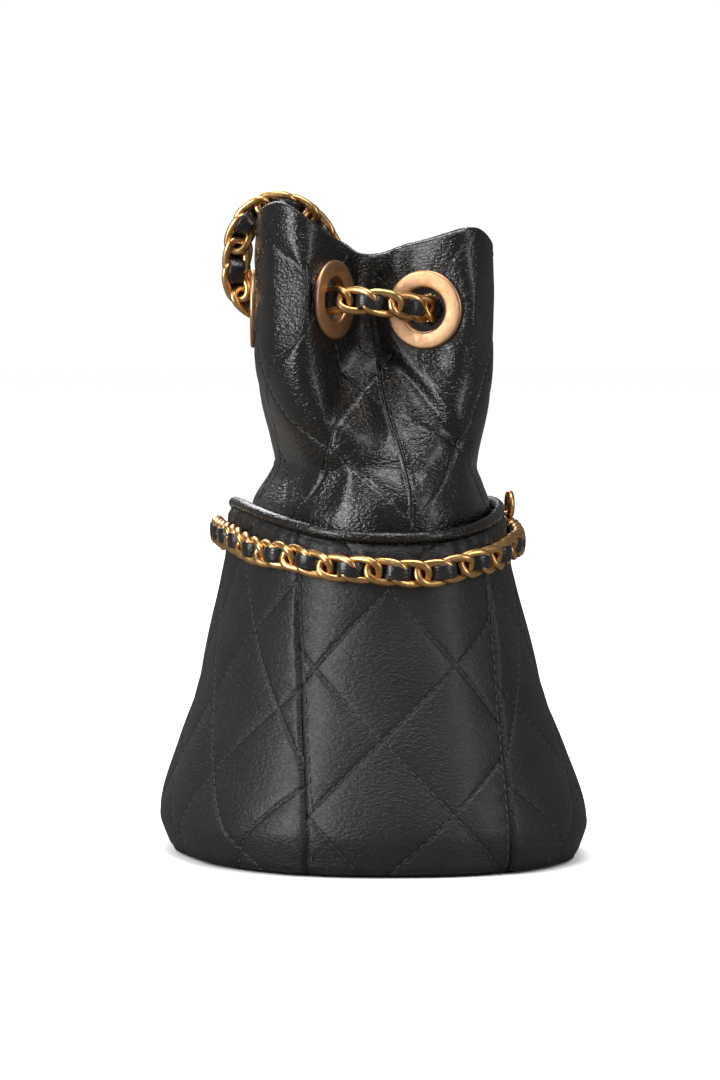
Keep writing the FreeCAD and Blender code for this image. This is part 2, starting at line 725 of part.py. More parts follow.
def tube(route):
    path, radii = rounded_path(route)
    first = path.Edges[0]
    circle = Part.Circle(first.valueAt(first.FirstParameter), first.tangentAt(first.FirstParameter),
                         size("strap_diameter") / 2)
    shape = path.makePipeShell([Part.Wire([circle.toShape()])], True, False)
    expected = math.pi * size("strap_diameter") ** 2 / 4 * path.Length
    print("strap run %.1f mm, volume %.3f of section times length, radii %s"
          % (path.Length, shape.Volume / expected, ["%.1f" % radius for radius in radii]))
    return shape


def make_strap():
    keep(feature("near_run", tube(STRAP_NEAR)), "strap_near_run")
    keep(feature("far_run", tube(STRAP_FAR)), "strap_far_run")
    outer = doc.addObject("Part::Cylinder", "coil_outside")
    bind(outer, {"Radius": "sizes.coil_outer", "Height": "sizes.coil_height",
                 "Placement.Base.z": "sizes.coil_level"})
    inner = doc.addObject("Part::Cylinder", "coil_inside")
    bind(inner, {"Radius": "sizes.coil_inner", "Height": "sizes.coil_height",
                 "Placement.Base.z": "sizes.coil_level"})
    keep(boolean("Cut", "coil", outer, inner), "strap_coil")


# ---- ring ornament ----------------------------------------------------------------------------

def make_ornament():
    """A plain ring that stands up from two posts in the middle of the front, over the rim chain."""
    apart = size("post_apart")
    level = size("ring_level") - math.sqrt(size("ring_radius") ** 2 - apart ** 2)
    half_width, half_depth, lean = skirt_sizes(level)
    face = lean - half_depth
    ring = doc.addObject("Part::Torus", "ornament")
    bind(ring, {"Radius1": "sizes.ring_radius", "Radius2": "sizes.ring_wire"})
    upright = Rotation(Vector(1, 0, 0), 90)
    ring.Placement = Placement(Vector(0, face - size("ring_standoff"), size("ring_level")), upright)
    keep(ring, "rim_ring")
    posts = []
    for side in (-1, 1):
        post = doc.addObject("Part::Cylinder", "post")
        bind(post, {"Radius": "sizes.post_radius", "Height": "sizes.ring_standoff + sizes.post_root"})
        post.Placement = Placement(Vector(side * apart, face + size("post_root"), level), upright)
        posts.append(post)
    keep(compound("posts", posts), "rim_ring_posts")


# ---- build ------------------------------------------------------------------------------------

def check_and_write():
    doc.recompute()
    failed = [thing.Label for thing in doc.Objects
              if "Invalid" in thing.State or "Error" in thing.State]
    if failed:
        raise RuntimeError("failed: %s" % ", ".join(failed))
    os.makedirs("parts", exist_ok=True)
    for piece in pieces:
        shape = piece.Shape
        if shape.isNull() or not shape.isValid() or not shape.Solids:
            raise RuntimeError("%s has no sound shape" % piece.Label)
        box = shape.optimalBoundingBox(False)
        print("%-28s solids %3d volume %9.1f  x %.1f..%.1f  y %.1f..%.1f  z %.1f..%.1f"
              % (piece.Label, len(shape.Solids), shape.Volume, box.XMin, box.XMax, box.YMin, box.YMax,
                 box.ZMin, box.ZMax))
        shape.exportStep(os.path.join("parts", piece.Label + ".step"))


make_base()
make_skirt()
make_rim_binding()
make_lining()
make_neck(list(EYELETS))
make_eyelets()
make_rim_chain()
make_drawstring()
make_strap()
make_ornament()
check_and_write()
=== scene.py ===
import bpy
import math
import numpy as np
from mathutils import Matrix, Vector


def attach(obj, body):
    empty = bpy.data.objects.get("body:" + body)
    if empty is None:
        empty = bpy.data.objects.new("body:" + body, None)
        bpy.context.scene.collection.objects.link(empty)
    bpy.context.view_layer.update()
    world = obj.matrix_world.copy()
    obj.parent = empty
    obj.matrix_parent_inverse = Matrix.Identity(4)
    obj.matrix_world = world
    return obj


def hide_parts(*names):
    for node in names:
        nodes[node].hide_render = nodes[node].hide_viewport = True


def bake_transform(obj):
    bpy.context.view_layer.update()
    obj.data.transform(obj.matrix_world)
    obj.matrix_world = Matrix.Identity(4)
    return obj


# Bucket bag: black quilted lambskin, gold eyelets and gold chain woven with a leather lace.
# Everything is in metres in the row frame; sizes below are in millimetres and scaled by MM.
MM = 0.001
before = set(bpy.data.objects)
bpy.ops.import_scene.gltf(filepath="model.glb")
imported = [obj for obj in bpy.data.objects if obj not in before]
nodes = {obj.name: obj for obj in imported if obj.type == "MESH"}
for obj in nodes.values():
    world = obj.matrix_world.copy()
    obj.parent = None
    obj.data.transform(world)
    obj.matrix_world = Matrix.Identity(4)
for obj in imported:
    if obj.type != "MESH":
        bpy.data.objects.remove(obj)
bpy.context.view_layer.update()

# ---- driving sizes, the same as the CAD's ----

SKIRT_PROFILE = [(3.5, 60.2), (12.5, 62.6), (32.0, 56.5), (47.0, 51.4), (63.5, 47.0), (81.0, 42.8),
                 (110.0, 38.8)]
WIDTH_GAIN, WIDTH_EXTRA, SKIRT_POWER, SKIRT_LEAN = 0.88, 34.8, 2.3, 2.2
SKIRT_WALL, LINING_GAP = 3.2, 3.9
SEAM_RIM, SEAM_FOOT = 27.7, 30.5
RIM_LEVEL, RIM_DIP, RIM_SPAN, RIM_DEPTH, BINDING_RADIUS = 103.0, 8.0, 72.0, 39.6, 1.7
NECK_FOOT, BAND_LEVEL, WAIST_LEVEL, SHOULDER_LEVEL = 84.0, 104.0, 118.0, 150.0
BAND_WIDTH, BAND_DEPTH, WAIST_WIDTH, WAIST_DEPTH = 63.5, 34.0, 60.0, 28.8
NECK_WALL, NECK_TWIST, FRONT_BACK_DROP = 2.4, 7.5, 3.5
EYELET_OUTER, EYELET_HOLE, EYELET_FLANGE, EYELET_DEPTH = 23.2, 13.0, 1.1, 4.0
LINK_PITCH, RIM_CHAIN_DROP, RIM_CHAIN_STANDOFF = 7.2, 7.5, 2.8
COIL_TURNS, COIL_FIRST, COIL_LAST, COIL_LEVEL, STRAP_DIAMETER = 3, 46.0, 27.4, 9.6, 6.0

MOUTH = [(0, 33.8), (-20, 34.2), (-38, 33.6), (-52, 30.0), (-60, 22.5), (-58, 15.5), (-50.5, 11.6),
         (-42, 7.0), (-36, -1.5), (-39.5, -8.0), (-43, -15.5), (-46, -24.0), (-42, -31.5),
         (-29, -35.4), (-14, -28.6), (0, -24.0)]
RING_ANGLES = [90, 72, 56, 42, 30, 22, 13, 5, -4, -12, -21, -32, -45, -60, -75, -90]
TOP_EDGE = [(-46, 181.0), (-38, 182.0), (-30, 183.5), (-14, 179.5), (0, 178.5), (8, 180.8), (17, 187.5),
            (28, 193), (36, 189.5), (44, 186)]

EYELETS = {
    "eyelet_gusset_near_back": ("near_gusset", -50.5, 11.6, 165.5, -61.0),
    "eyelet_gusset_near_front": ("near_gusset", -43.0, -15.5, 162.5, 21.0),
    "eyelet_back_near": ("bag", -20.0, 34.4, 162.5, 90.0),
    "eyelet_back_far": ("bag", 20.0, 34.4, 162.5, 90.0),
    "eyelet_front_near": ("bag", -13.5, -28.4, 162.5, -112.0),
    "eyelet_front_far": ("bag", 13.5, -28.4, 162.5, -68.0),
    "eyelet_gusset_far_front": ("far_gusset", 43.0, -15.5, 162.5, 159.0),
    "eyelet_gusset_far_back": ("far_gusset", 50.5, 11.6, 165.5, -119.0),
}

STRAP_NEAR = [(-15.9, 31.5, 162.5), (-14.6, 42.8, 163.5), (-14.6, 42.4, 182.0), (-15.1, 39.2, 190.0),
              (-16.1, 30.3, 194.2), (-16.5, 20.3, 190.0), (-14.4, 13.0, 178.0), (-15.0, 9.5, 150.0),
              (-24.0, 10.0, 120.0), (-34.0, 20.0, 80.0), (-38.0, 30.0, 50.0), (-37.0, 37.0, 31.0),
              (-29.0, 41.0, 18.5), (-20.0, 43.2, 14.3)]
STRAP_FAR = [(13.0, 25.0, 14.3), (24.0, 22.5, 22.0), (31.5, 20.0, 38.0), (32.5, 16.0, 66.0),
             (27.0, 11.0, 100.0), (20.0, 8.5, 130.0), (17.0, 8.0, 156.0), (17.3, 8.8, 177.0),
             (21.2, 15.4, 190.0), (23.5, 25.6, 193.8), (24.5, 34.0, 190.0), (24.8, 37.0, 182.0),
             (25.0, 37.5, 163.5), (23.7, 26.3, 162.5)]

# Quilting: half of a diamond's width and height, and how far it puffs up.
QUILT_ACROSS, QUILT_UP, QUILT_PUFF = 21.85, 22.0, 0.85
STITCH_PITCH, STITCH_LENGTH, STITCH_RADIUS = 3.0, 2.1, 0.27


# ---- number helpers ----

def smooth(value, start, end):
    share = np.clip((np.asarray(value, float) - start) / (end - start), 0.0, 1.0)
    return share * share * (3.0 - 2.0 * share)


def hermite(share, first, first_slope, last, last_slope):
    """The cubic between two values with given slopes, at a share of the way from 0 to 1."""
    square, cube = share ** 2, share ** 3
    return ((2 * cube - 3 * square + 1) * first + (cube - 2 * square + share) * first_slope
            + (3 * square - 2 * cube) * last + (cube - square) * last_slope)


def through(points, values):
    """A smooth curve between given (place, value) points, for an array of places."""
    places = np.array([place for place, value in points], float)
    heights = np.array([value for place, value in points], float)
    low = np.maximum(np.arange(len(places)) - 1, 0)
    high = np.minimum(np.arange(len(places)) + 1, len(places) - 1)
    slopes = (heights[high] - heights[low]) / (places[high] - places[low])
    values = np.clip(np.asarray(values, float), places[0], places[-1])
    index = np.clip(np.searchsorted(places, values) - 1, 0, len(places) - 2)
    span = places[index + 1] - places[index]
    return hermite((values - places[index]) / span, heights[index], span * slopes[index],
                   heights[index + 1], span * slopes[index + 1])


def signed_power(values, power):
    """A power that keeps the sign, which squares up the circle that the values come from."""
    return np.sign(values) * np.abs(values) ** power


def circle_angles(count):
    return np.linspace(0, 2 * math.pi, count, endpoint=False)


def oval(half_width, half_depth, degrees):
    angle = np.radians(degrees)
    return (half_width * signed_power(np.cos(angle), 2 / SKIRT_POWER),
            half_depth * signed_power(np.sin(angle), 2 / SKIRT_POWER))


def unit(vectors):
    return vectors / np.linalg.norm(vectors, axis=-1, keepdims=True)


def square_to(vectors, along):
    """Unit vectors at right angles to the unit directions along, nearest to the given ones."""
    return unit(vectors - along * np.sum(vectors * along, axis=-1, keepdims=True))


def normals_of(grid):
    """Unit normals of a grid of points, from its neighbours across and up."""
    across = np.gradient(grid, axis=0)
    up = np.gradient(grid, axis=1)
    normal = np.cross(across, up)
    return normal / np.maximum(np.linalg.norm(normal, axis=2, keepdims=True), 1e-12)


def lengths_along(grid, axis):
    steps = np.linalg.norm(np.diff(grid, axis=axis), axis=2)
    zero = np.zeros_like(steps.take([0], axis=axis))
    return np.concatenate([zero, np.cumsum(steps, axis=axis)], axis=axis)


RIPPLE_WAVES = 9


def ripple(u, v, seed):
    """A smooth, uneven field between about -1 and 1: a sum of slanted waves."""
    random = np.random.default_rng(seed)
    total = np.zeros_like(u)
    for _ in range(RIPPLE_WAVES):
        angle, phase = random.uniform(0, math.pi), random.uniform(0, 2 * math.pi)
        total += np.sin((u * math.cos(angle) + v * math.sin(angle)) * random.uniform(0.6, 1.6) + phase)
    return total / (RIPPLE_WAVES / 2)


# ---- mesh helpers ----

def add_object(name, data):
    thing = bpy.data.objects.new(name, data)
    bpy.context.scene.collection.objects.link(thing)
    return thing


def mesh_object(name, points, faces, material, smooth_shading=True):
    mesh = bpy.data.meshes.new(name)
    mesh.from_pydata([tuple(point) for point in points], [], faces)
    mesh.update()
    if smooth_shading:
        mesh.polygons.foreach_set("use_smooth", [True] * len(mesh.polygons))
    mesh.materials.append(material)
    return add_object(name, mesh)


def grid_faces(count_u, count_v, closed_u=False, closed_v=False):
    """Quads between the points of a grid numbered u by u, as an array."""
    u = np.arange(count_u if closed_u else count_u - 1)
    v = np.arange(count_v if closed_v else count_v - 1)
    u, v = np.meshgrid(u, v, indexing="ij")
    next_u, next_v = (u + 1) % count_u, (v + 1) % count_v
    quads = np.stack([u * count_v + v, next_u * count_v + v, next_u * count_v + next_v,
                      u * count_v + next_v], axis=-1)
    return quads.reshape(-1, 4)


def grid_object(name, grid, material, closed_u=False, closed_v=False, keep=None):
    count_u, count_v = grid.shape[:2]
    faces = grid_faces(count_u, count_v, closed_u, closed_v)
    points = grid.reshape(-1, 3) * MM
    if keep is not None:
        centres = points[faces].mean(axis=1)
        faces = faces[keep(centres / MM)]
    return mesh_object(name, points, faces.tolist(), material)


def many(name, shape_points, shape_faces, places, material):
    """Copies of one small mesh at many places; each place is (origin, three axes), in mm."""
    count = len(shape_points)
    origins = np.array([place[0] for place in places])
    axes = np.array([place[1] for place in places])
    points = (origins[:, None, :] + np.einsum("pk,nkc->npc", shape_points, axes)).reshape(-1, 3)
    faces = [[corner + count * copy for corner in face]
             for copy in range(len(places)) for face in shape_faces]
    return mesh_object(name, points * MM, faces, material)


def section_rings(path, wide, side, tall, up):
    """A cross-section's corners (wide along side, tall along up) at every point of a path."""
    return path[:, None] + wide[..., :, None] * side[:, None] + tall[..., :, None] * up[:, None]


def tube_points(path, outs, radius, sides):
    """Round rings along a path, from one side direction and one radius for each of its points."""
    along = unit(np.gradient(path, axis=0))
    side = square_to(outs, along)
    angles, radius = circle_angles(sides), radius[:, None]
    return section_rings(path, radius * np.cos(angles), side, radius * np.sin(angles), np.cross(along, side))


# ---- camera, light and floor ----

CAMERA_AZIMUTH, CAMERA_DISTANCE, CAMERA_HEIGHT = -97.5, 2000.0, 190.0
LOOK_AT = (0.0, 3.6, 93.1)
VIEW_HEIGHT, SENSOR_HEIGHT = 322.4, 36.0

# The studio is bright where it is seen directly and dim where it is mirrored in the bag.
BACKGROUND_SEEN, BACKGROUND_MIRRORED = 1.03, 0.12
FLOOR_SEEN, FLOOR_MIRRORED = (0.96, 0.96, 0.96), (0.10, 0.095, 0.09)
FLOOR_HALF_SIZE = 6000.0

# Each light: where it stands, its width and height in metres, and its watts.
LIGHT_AIM = (0, 0, 0.1)
LIGHTS = {
    "key_light": ((-0.75, 1.65, 0.6), 0.9, 1.5, 36),
    "fill_light": ((-1.2, -1.5, 0.7), 0.45, 1.3, 9),
    "top_light": ((-0.35, 0.0, 1.7), 0.9, 0.9, 16),
    "back_light": ((1.6, 0.2, 1.2), 0.8, 1.2, 14),
}


def make_camera():
    data = bpy.data.cameras.new("camera")
    data.sensor_width = SENSOR_HEIGHT
    data.lens = data.sensor_width * CAMERA_DISTANCE / VIEW_HEIGHT
    data.clip_start, data.clip_end = 0.05, 20.0
    camera = add_object("camera", data)
    angle = math.radians(CAMERA_AZIMUTH)
    target = Vector(LOOK_AT) * MM
    back = Vector((math.sin(angle), -math.cos(angle), 0)) * CAMERA_DISTANCE * MM
    camera.location = target + back
    camera.location.z = CAMERA_HEIGHT * MM
    camera.rotation_euler = (target - camera.location).to_track_quat("-Z", "Y").to_euler()
    bpy.context.scene.camera = camera


def make_studio():
    scene = bpy.context.scene
    scene.world = bpy.data.worlds.new("studio")
    scene.world.use_nodes = True
    scene.view_settings.view_transform = "Standard"
    tree = scene.world.node_tree
    background = tree.nodes["Background"]
    background.inputs["Color"].default_value = (1.0, 1.0, 1.0, 1.0)
    mirrored_ray = tree.nodes.new("ShaderNodeLightPath").outputs["Is Glossy Ray"]
    strength = tree.nodes.new("ShaderNodeMapRange")
    strength.inputs["To Min"].default_value = BACKGROUND_SEEN
    strength.inputs["To Max"].default_value = BACKGROUND_MIRRORED
    tree.links.new(mirrored_ray, strength.inputs["Value"])
    tree.links.new(strength.outputs["Result"], background.inputs["Strength"])
    for name, (spot, width, height, watts) in LIGHTS.items():
        data = bpy.data.lights.new(name, "AREA")
        data.shape = "RECTANGLE"
        data.size, data.size_y, data.energy = width, height, watts
        light = add_object(name, data)
        light.location = spot
        light.rotation_euler = (Vector(LIGHT_AIM) - Vector(spot)).to_track_quat("-Z", "Y").to_euler()


def make_floor():
    paper = Shader("floor_paper", FLOOR_SEEN, 0.8)
    paper.put("Specular IOR Level", 0.0)
    mirrored_ray = paper.node("ShaderNodeLightPath").outputs["Is Glossy Ray"]
    paper.colour(mirrored_ray, FLOOR_SEEN, FLOOR_MIRRORED)
    corners = np.array([(-1, -1, 0), (1, -1, 0), (1, 1, 0), (-1, 1, 0)]) * FLOOR_HALF_SIZE * MM
    floor = mesh_object("floor", corners, [[0, 1, 2, 3]], paper.material, False)


# ---- materials ----

class Shader:
    """A material with one Principled shader and small helpers for its nodes."""

    def __init__(self, name, color, roughness, metallic=0.0):
        self.material = bpy.data.materials.new(name)
        self.material.use_nodes = True
        self.tree = self.material.node_tree
        self.shader = self.tree.nodes["Principled BSDF"]
        self.put("Base Color", (*color, 1))
        self.put("Roughness", roughness)
        self.put("Metallic", metallic)
        self.place = self.tree.nodes.new("ShaderNodeTexCoord").outputs["Object"]
        self.height = None

    def put(self, name, value):
        self.shader.inputs[name].default_value = value

    def node(self, kind, **inputs):
        made = self.tree.nodes.new(kind)
        for name, value in inputs.items():
            made.inputs[name].default_value = value
        return made

    def link(self, source, target):
        self.tree.links.new(source, target)

    def pattern(self, kind, output, place=None, **inputs):
        made = self.node("ShaderNodeTex" + kind, **inputs)
        self.link(place or self.place, made.inputs["Vector"])
        return made.outputs[output]

    def noise(self, scale, detail, stretch=None):
        place = self.place
        if stretch:
            mapping = self.node("ShaderNodeMapping", Scale=stretch)
            self.link(place, mapping.inputs["Vector"])
            place = mapping.outputs["Vector"]
        return self.pattern("Noise", "Fac", place, Scale=scale, Detail=detail)

    def ramp(self, value, low, high, start, end):
        """Maps a value from start..end to low..high."""
        made = self.node("ShaderNodeMapRange", **{"From Min": start, "From Max": end,
                                                  "To Min": low, "To Max": high})
        self.link(value, made.inputs["Value"])
        return made.outputs["Result"]

    def colour(self, factor, first, second):
        """Blends the base colour from the first to the second by a factor."""
        made = self.node("ShaderNodeMix")
        made.data_type = "RGBA"
        made.inputs["A"].default_value = (*first, 1)
        made.inputs["B"].default_value = (*second, 1)
        self.link(factor, made.inputs["Factor"])
        self.link(made.outputs["Result"], self.shader.inputs["Base Color"])

    def patches(self, scale, detail, first, second):
        """Uneven patches of two base colours."""
        self.colour(self.ramp(self.noise(scale, detail), 0, 1, 0.35, 0.7), first, second)

    def roughness(self, scale, low, high):
        """Roughness that varies finely from low to high."""
        rough = self.ramp(self.noise(scale, 4), low, high, 0.3, 0.7)
        self.link(rough, self.shader.inputs["Roughness"])

    def bump(self, height, distance):
        made = self.node("ShaderNodeBump", Distance=distance, Strength=1.0)
        self.link(height, made.inputs["Height"])
        if self.height:
            self.link(self.height, made.inputs["Normal"])
        self.height = made.outputs["Normal"]
        self.link(self.height, self.shader.inputs["Normal"])


# Scale of each material's patterns: a larger number is a finer pattern.
LEATHER_WEAR, LEATHER_SHEEN, LEATHER_WRINKLE, LEATHER_GRAIN = 55, 420, 150, 1500
METAL_TINT, METAL_SHEEN, METAL_DENTS = 240, 900, 500
CLOTH_WEAVE, CLOTH_SLACK, THREAD_TWIST, BOARD_FIBRE, BOARD_GRIT = 900.0, 90, 1400.0, 300, 900


def leather(name, color, worn, rough_low, rough_high, gloss, wrinkle, grain):
    shader = Shader(name, color, 0.4)
    shader.put("Specular IOR Level", gloss)
    shader.put("Coat Weight", gloss / 2)
    shader.put("Coat Roughness", rough_low * 0.8)
    shader.patches(LEATHER_WEAR, 4, color, worn)
    shader.roughness(LEATHER_SHEEN, rough_low, rough_high)
    shader.bump(shader.noise(LEATHER_WRINKLE, 2), wrinkle)
    shader.bump(shader.noise(LEATHER_GRAIN, 1.0, (0.5, 0.5, 1.0)), grain)
    shader.bump(shader.pattern("Voronoi", "Distance", Scale=LEATHER_GRAIN), grain * 0.2)
    return shader.material


def metal(name, color, dark, rough_low, rough_high, dents):
    shader = Shader(name, color, rough_low, 1.0)
    shader.patches(METAL_TINT, 3, color, dark)
    shader.roughness(METAL_SHEEN, rough_low, rough_high)
    shader.bump(shader.noise(METAL_DENTS, 3), dents)
    return shader.material


def cloth(name, color, pale):
    shader = Shader(name, color, 0.85)
    shader.put("Sheen Weight", 0.3)
    weave = shader.pattern("Wave", "Fac", Scale=CLOTH_WEAVE, Distortion=0.4)
    shader.colour(weave, color, pale)
    shader.bump(weave, 0.00008)
    shader.bump(shader.noise(CLOTH_SLACK, 3), 0.0006)
    return shader.material


def thread(name, color):
    shader = Shader(name, color, 0.55)
    shader.bump(shader.pattern("Wave", "Fac", Scale=THREAD_TWIST, Distortion=1.0), 0.00005)
    return shader.material


def board(name):
    shader = Shader(name, (0.35, 0.27, 0.18), 0.9)
    shader.colour(shader.noise(BOARD_FIBRE, 5, (1, 6, 1)), (0.3, 0.23, 0.15), (0.42, 0.33, 0.22))
    shader.bump(shader.noise(BOARD_GRIT, 4), 0.0001)
    return shader.material


make_camera()
make_studio()
make_floor()
SKIRT_LEATHER = leather("skirt_leather", (0.0085, 0.0082, 0.0084), (0.0120, 0.0115, 0.0117), 0.42, 0.54,
                        0.34, 0.0001, 0.00045)
NECK_LEATHER = leather("neck_leather", (0.0035, 0.0033, 0.0034), (0.0060, 0.0053, 0.0048), 0.24, 0.34,
                       0.55, 0.00004, 0.00042)
LACE_LEATHER = leather("lace_leather", (0.0050, 0.0048, 0.0048), (0.0085, 0.0080, 0.0080), 0.26, 0.38,
                       0.50, 0.0001, 0.0002)
LINING_CLOTH = cloth("lining_cloth", (0.022, 0.020, 0.020), (0.04, 0.037, 0.037))
THREAD = thread("thread", (0.022, 0.022, 0.023))
CHAIN_GOLD = metal("chain_gold", (0.93, 0.57, 0.24), (0.76, 0.43, 0.16), 0.27, 0.40, 0.00006)
EYELET_GOLD = metal("eyelet_gold", (0.80, 0.49, 0.28), (0.66, 0.39, 0.20), 0.34, 0.50, 0.00006)
BOARD = board("stiffener_board")


# ---- skirt ----

def skirt_sizes(height):
    half_depth = through(SKIRT_PROFILE, height)
    half_width = WIDTH_GAIN * half_depth + WIDTH_EXTRA
    lean = SKIRT_LEAN * (np.asarray(height) - SKIRT_PROFILE[1][0]) / RIM_LEVEL
    return half_width, half_depth, lean


def rim_height(across):
    return RIM_LEVEL - RIM_DIP * (across / RIM_SPAN) ** 2


def seam_degrees(height):
    half_depth = skirt_sizes(height)[1]
    seam = SEAM_FOOT + (SEAM_RIM - SEAM_FOOT) * height / RIM_LEVEL
    return np.degrees(np.arcsin((seam / half_depth) ** (SKIRT_POWER / 2)))


def skirt_point(degrees, height, out=0.0):
    half_width, half_depth, lean = skirt_sizes(height)
    across, along = oval(half_width + out, half_depth + out, degrees)
    return np.stack([across, along + lean, np.broadcast_to(height, across.shape)], axis=-1)


# Each panel: its first and last seam, as (turn, side) so that the seam stands at turn + side * seam
# angle; where its lattice of diamonds starts, across and up from the middle of its foot; its slant.
SKIRT_PANELS = {
    "skirt_gusset_near": ((180, -1), (180, 1), -5.4, 39.8, 0.095),
    "skirt_gusset_far": ((0, -1), (0, 1), 5.4, 39.8, 0.095),
    "skirt_front": ((180, 1), (360, -1), 0.0, 28.0, 0.0),
    "skirt_back": ((0, 1), (180, -1), 0.0, 28.0, 0.0),
}
SKIRT_FOOT = 0.9
SKIRT_ROWS, GUSSET_COLUMNS, SIDE_COLUMNS = 210, 130, 320
SEAM_STITCH_INSET = 2.2

# Relief of the quilting in mm. PILLOW_SINK alone is a share of the pillows' puff.
PILLOW_REACH, PILLOW_SINK = 4.5, 0.6
CREASE_DEPTH, CREASE_WIDTH = 0.42, 0.55
SEAM_DEPTH, SEAM_WIDTH, SEAM_ROUNDING = 0.65, 0.8, 1.6
PUCKER_DEPTH, PUCKER_PITCH, PUCKER_INSET, PUCKER_WIDTH = 0.10, 6.1, 2.4, 2.0
PULL_DEPTH, PULL_REACH, UNEVEN_DEPTH = 0.07, 2.6, 0.35
QUILT_UPRIGHT_LEVEL, STITCH_STANDS_OUT, LOCATE_ROUNDS = 62.0, 0.12, 5


def panel_grid(first, last, count_u, count_v):
    share_u = np.linspace(0, 1, count_u)[:, None]
    share_v = np.linspace(0, 1, count_v)[None, :]
    nominal = SKIRT_FOOT + share_v * (RIM_LEVEL - SKIRT_FOOT)
    seam = seam_degrees(nominal)
    start, end = first[0] + first[1] * seam, last[0] + last[1] * seam
    degrees = start + (end - start) * share_u
    rim = rim_height(oval(RIM_SPAN, RIM_DEPTH, degrees)[0])
    height = SKIRT_FOOT + share_v * (rim - SKIRT_FOOT)
    return skirt_point(degrees, height)


def between(rows, share):
    """The row at a share of the way through a stack of rows."""
    place = share * (len(rows) - 1)
    low = min(int(place), len(rows) - 2)
    return rows[low] + (rows[low + 1] - rows[low]) * (place - low)


class Quilt:
    """A panel's surface with its diamonds: places on it are in mm across and up the leather."""

    def __init__(self, grid, across_shift, up_shift, slant, puff, edges=True):
        self.flat = grid
        self.normal = normals_of(grid)
        across = lengths_along(grid, 0)
        self.across = across - across[-1:, :] / 2
        self.up = lengths_along(grid, 1)
        self.edge = np.minimum(across, across[-1:, :] - across)
        self.shift, self.up_shift, self.slant = across_shift, up_shift, slant
        first, second = self.lattice(self.across, self.up)
        side = 2 / math.hypot(1 / QUILT_ACROSS, 1 / QUILT_UP)
        near_first = np.abs(first - np.round(first)) * side
        near_second = np.abs(second - np.round(second)) * side
        pillow = (1 - np.exp(-near_first / PILLOW_REACH)) * (1 - np.exp(-near_second / PILLOW_REACH))
        crease = np.minimum(near_first, near_second)
        lift = puff * pillow
        if edges:
            lift = lift * (1 - np.exp(-self.edge / SEAM_ROUNDING))
            lift -= SEAM_DEPTH * np.exp(-(self.edge / SEAM_WIDTH) ** 2)
            drift = 1.6 * ripple(self.across / 9, self.up / 9, 5)
            pucker = np.sin(self.up * 2 * math.pi / PUCKER_PITCH + drift)
            lift += PUCKER_DEPTH * pucker * np.exp(-((self.edge - PUCKER_INSET) / PUCKER_WIDTH) ** 2)
        lift -= CREASE_DEPTH * np.exp(-(crease / CREASE_WIDTH) ** 2) + PILLOW_SINK * puff
        pull = ripple(self.across / 1.3, self.up / 1.3, 11)
        lift += PULL_DEPTH * pull * np.exp(-crease / PULL_REACH)
        lift += UNEVEN_DEPTH * ripple(self.across / 15, self.up / 15, 3)
        self.lift = lift

    def drift(self, up):
        return self.shift - self.slant * (QUILT_UPRIGHT_LEVEL - up)

    def lattice(self, across, up):
        u = (across - self.drift(up)) / QUILT_ACROSS
        v = (up - self.up_shift) / QUILT_UP
        return (u + v) / 2, (u - v) / 2

    def surface(self):
        return self.flat + self.normal * self.lift[:, :, None]

    def locate(self, across, up):
        """Grid places of points given in mm across and up, or None outside the panel."""
        count_u, count_v = self.across.shape
        v = up / self.up[count_u // 2, -1]
        for _ in range(LOCATE_ROUNDS):
            if not 0 <= v <= 1:
                return None
            line = between(self.across.T, v)
            if not line[0] <= across <= line[-1]:
                return None
            u = np.interp(across, line, np.linspace(0, 1, count_u))
            line = between(self.up, u)
            if up > line[-1]:
                return None
            v = np.interp(up, line, np.linspace(0, 1, count_v))
        return u, v

    def stitch_places(self, surface, lines):
        """Places for stitches along lines of (across, up) points that are one stitch apart."""
        found = []
        normals = normals_of(surface)
        for line in lines:
            before = None
            for across, up in line:
                spot = self.locate(across, up)
                point = None if spot is None else between(between(surface, spot[0]), spot[1])
                if point is not None and before is not None:
                    along = point - before
                    length = np.linalg.norm(along)
                    if 0.5 * STITCH_PITCH < length < 2 * STITCH_PITCH:
                        normal = between(between(normals, spot[0]), spot[1])
                        along = along / length
                        normal = square_to(normal, along)
                        middle = (point + before) / 2 + normal * STITCH_STANDS_OUT
                        found.append((middle, np.array([along, np.cross(normal, along), normal])))
                before = point
        return found

    def quilt_lines(self, margin=1.5):
        reach_u, reach_v = np.abs(self.across).max() + 20, self.up.max() + 30
        step = STITCH_PITCH / math.hypot(QUILT_ACROSS, QUILT_UP)
        lines = []
        limit = int((reach_u / QUILT_ACROSS + reach_v / QUILT_UP) / 2) + 2
        for slope in (-1, 1):
            for number in range(-limit, limit + 1):
                line = []
                for mark in np.arange(-2 * limit, 2 * limit, step):
                    up = self.up_shift + QUILT_UP * mark
                    across = QUILT_ACROSS * (slope * mark + 2 * number) + self.drift(up)
                    if -margin < up < reach_v and abs(across) < reach_u:
                        line.append((across, up))
                if len(line) > 1:
                    lines.append(line)
        return lines


def stitch_shape():
    """A short rounded stitch along its own x axis, in mm, a little wider than it is high."""
    points = []
    stations = [(-1.0, 0.25), (-0.82, 0.8), (-0.3, 1.0), (0.3, 1.0), (0.82, 0.8), (1.0, 0.25)]
    sides = 6
    for along, girth in stations:
        for angle in circle_angles(sides):
            points.append((along * STITCH_LENGTH / 2, girth * STITCH_RADIUS * 1.25 * math.cos(angle),
                           girth * STITCH_RADIUS * math.sin(angle)))
    faces = grid_faces(len(stations), sides, closed_v=True).tolist()
    faces.append(list(range(sides)))
    faces.append(list(range(sides * (len(stations) - 1), sides * len(stations))))
    return np.array(points), faces


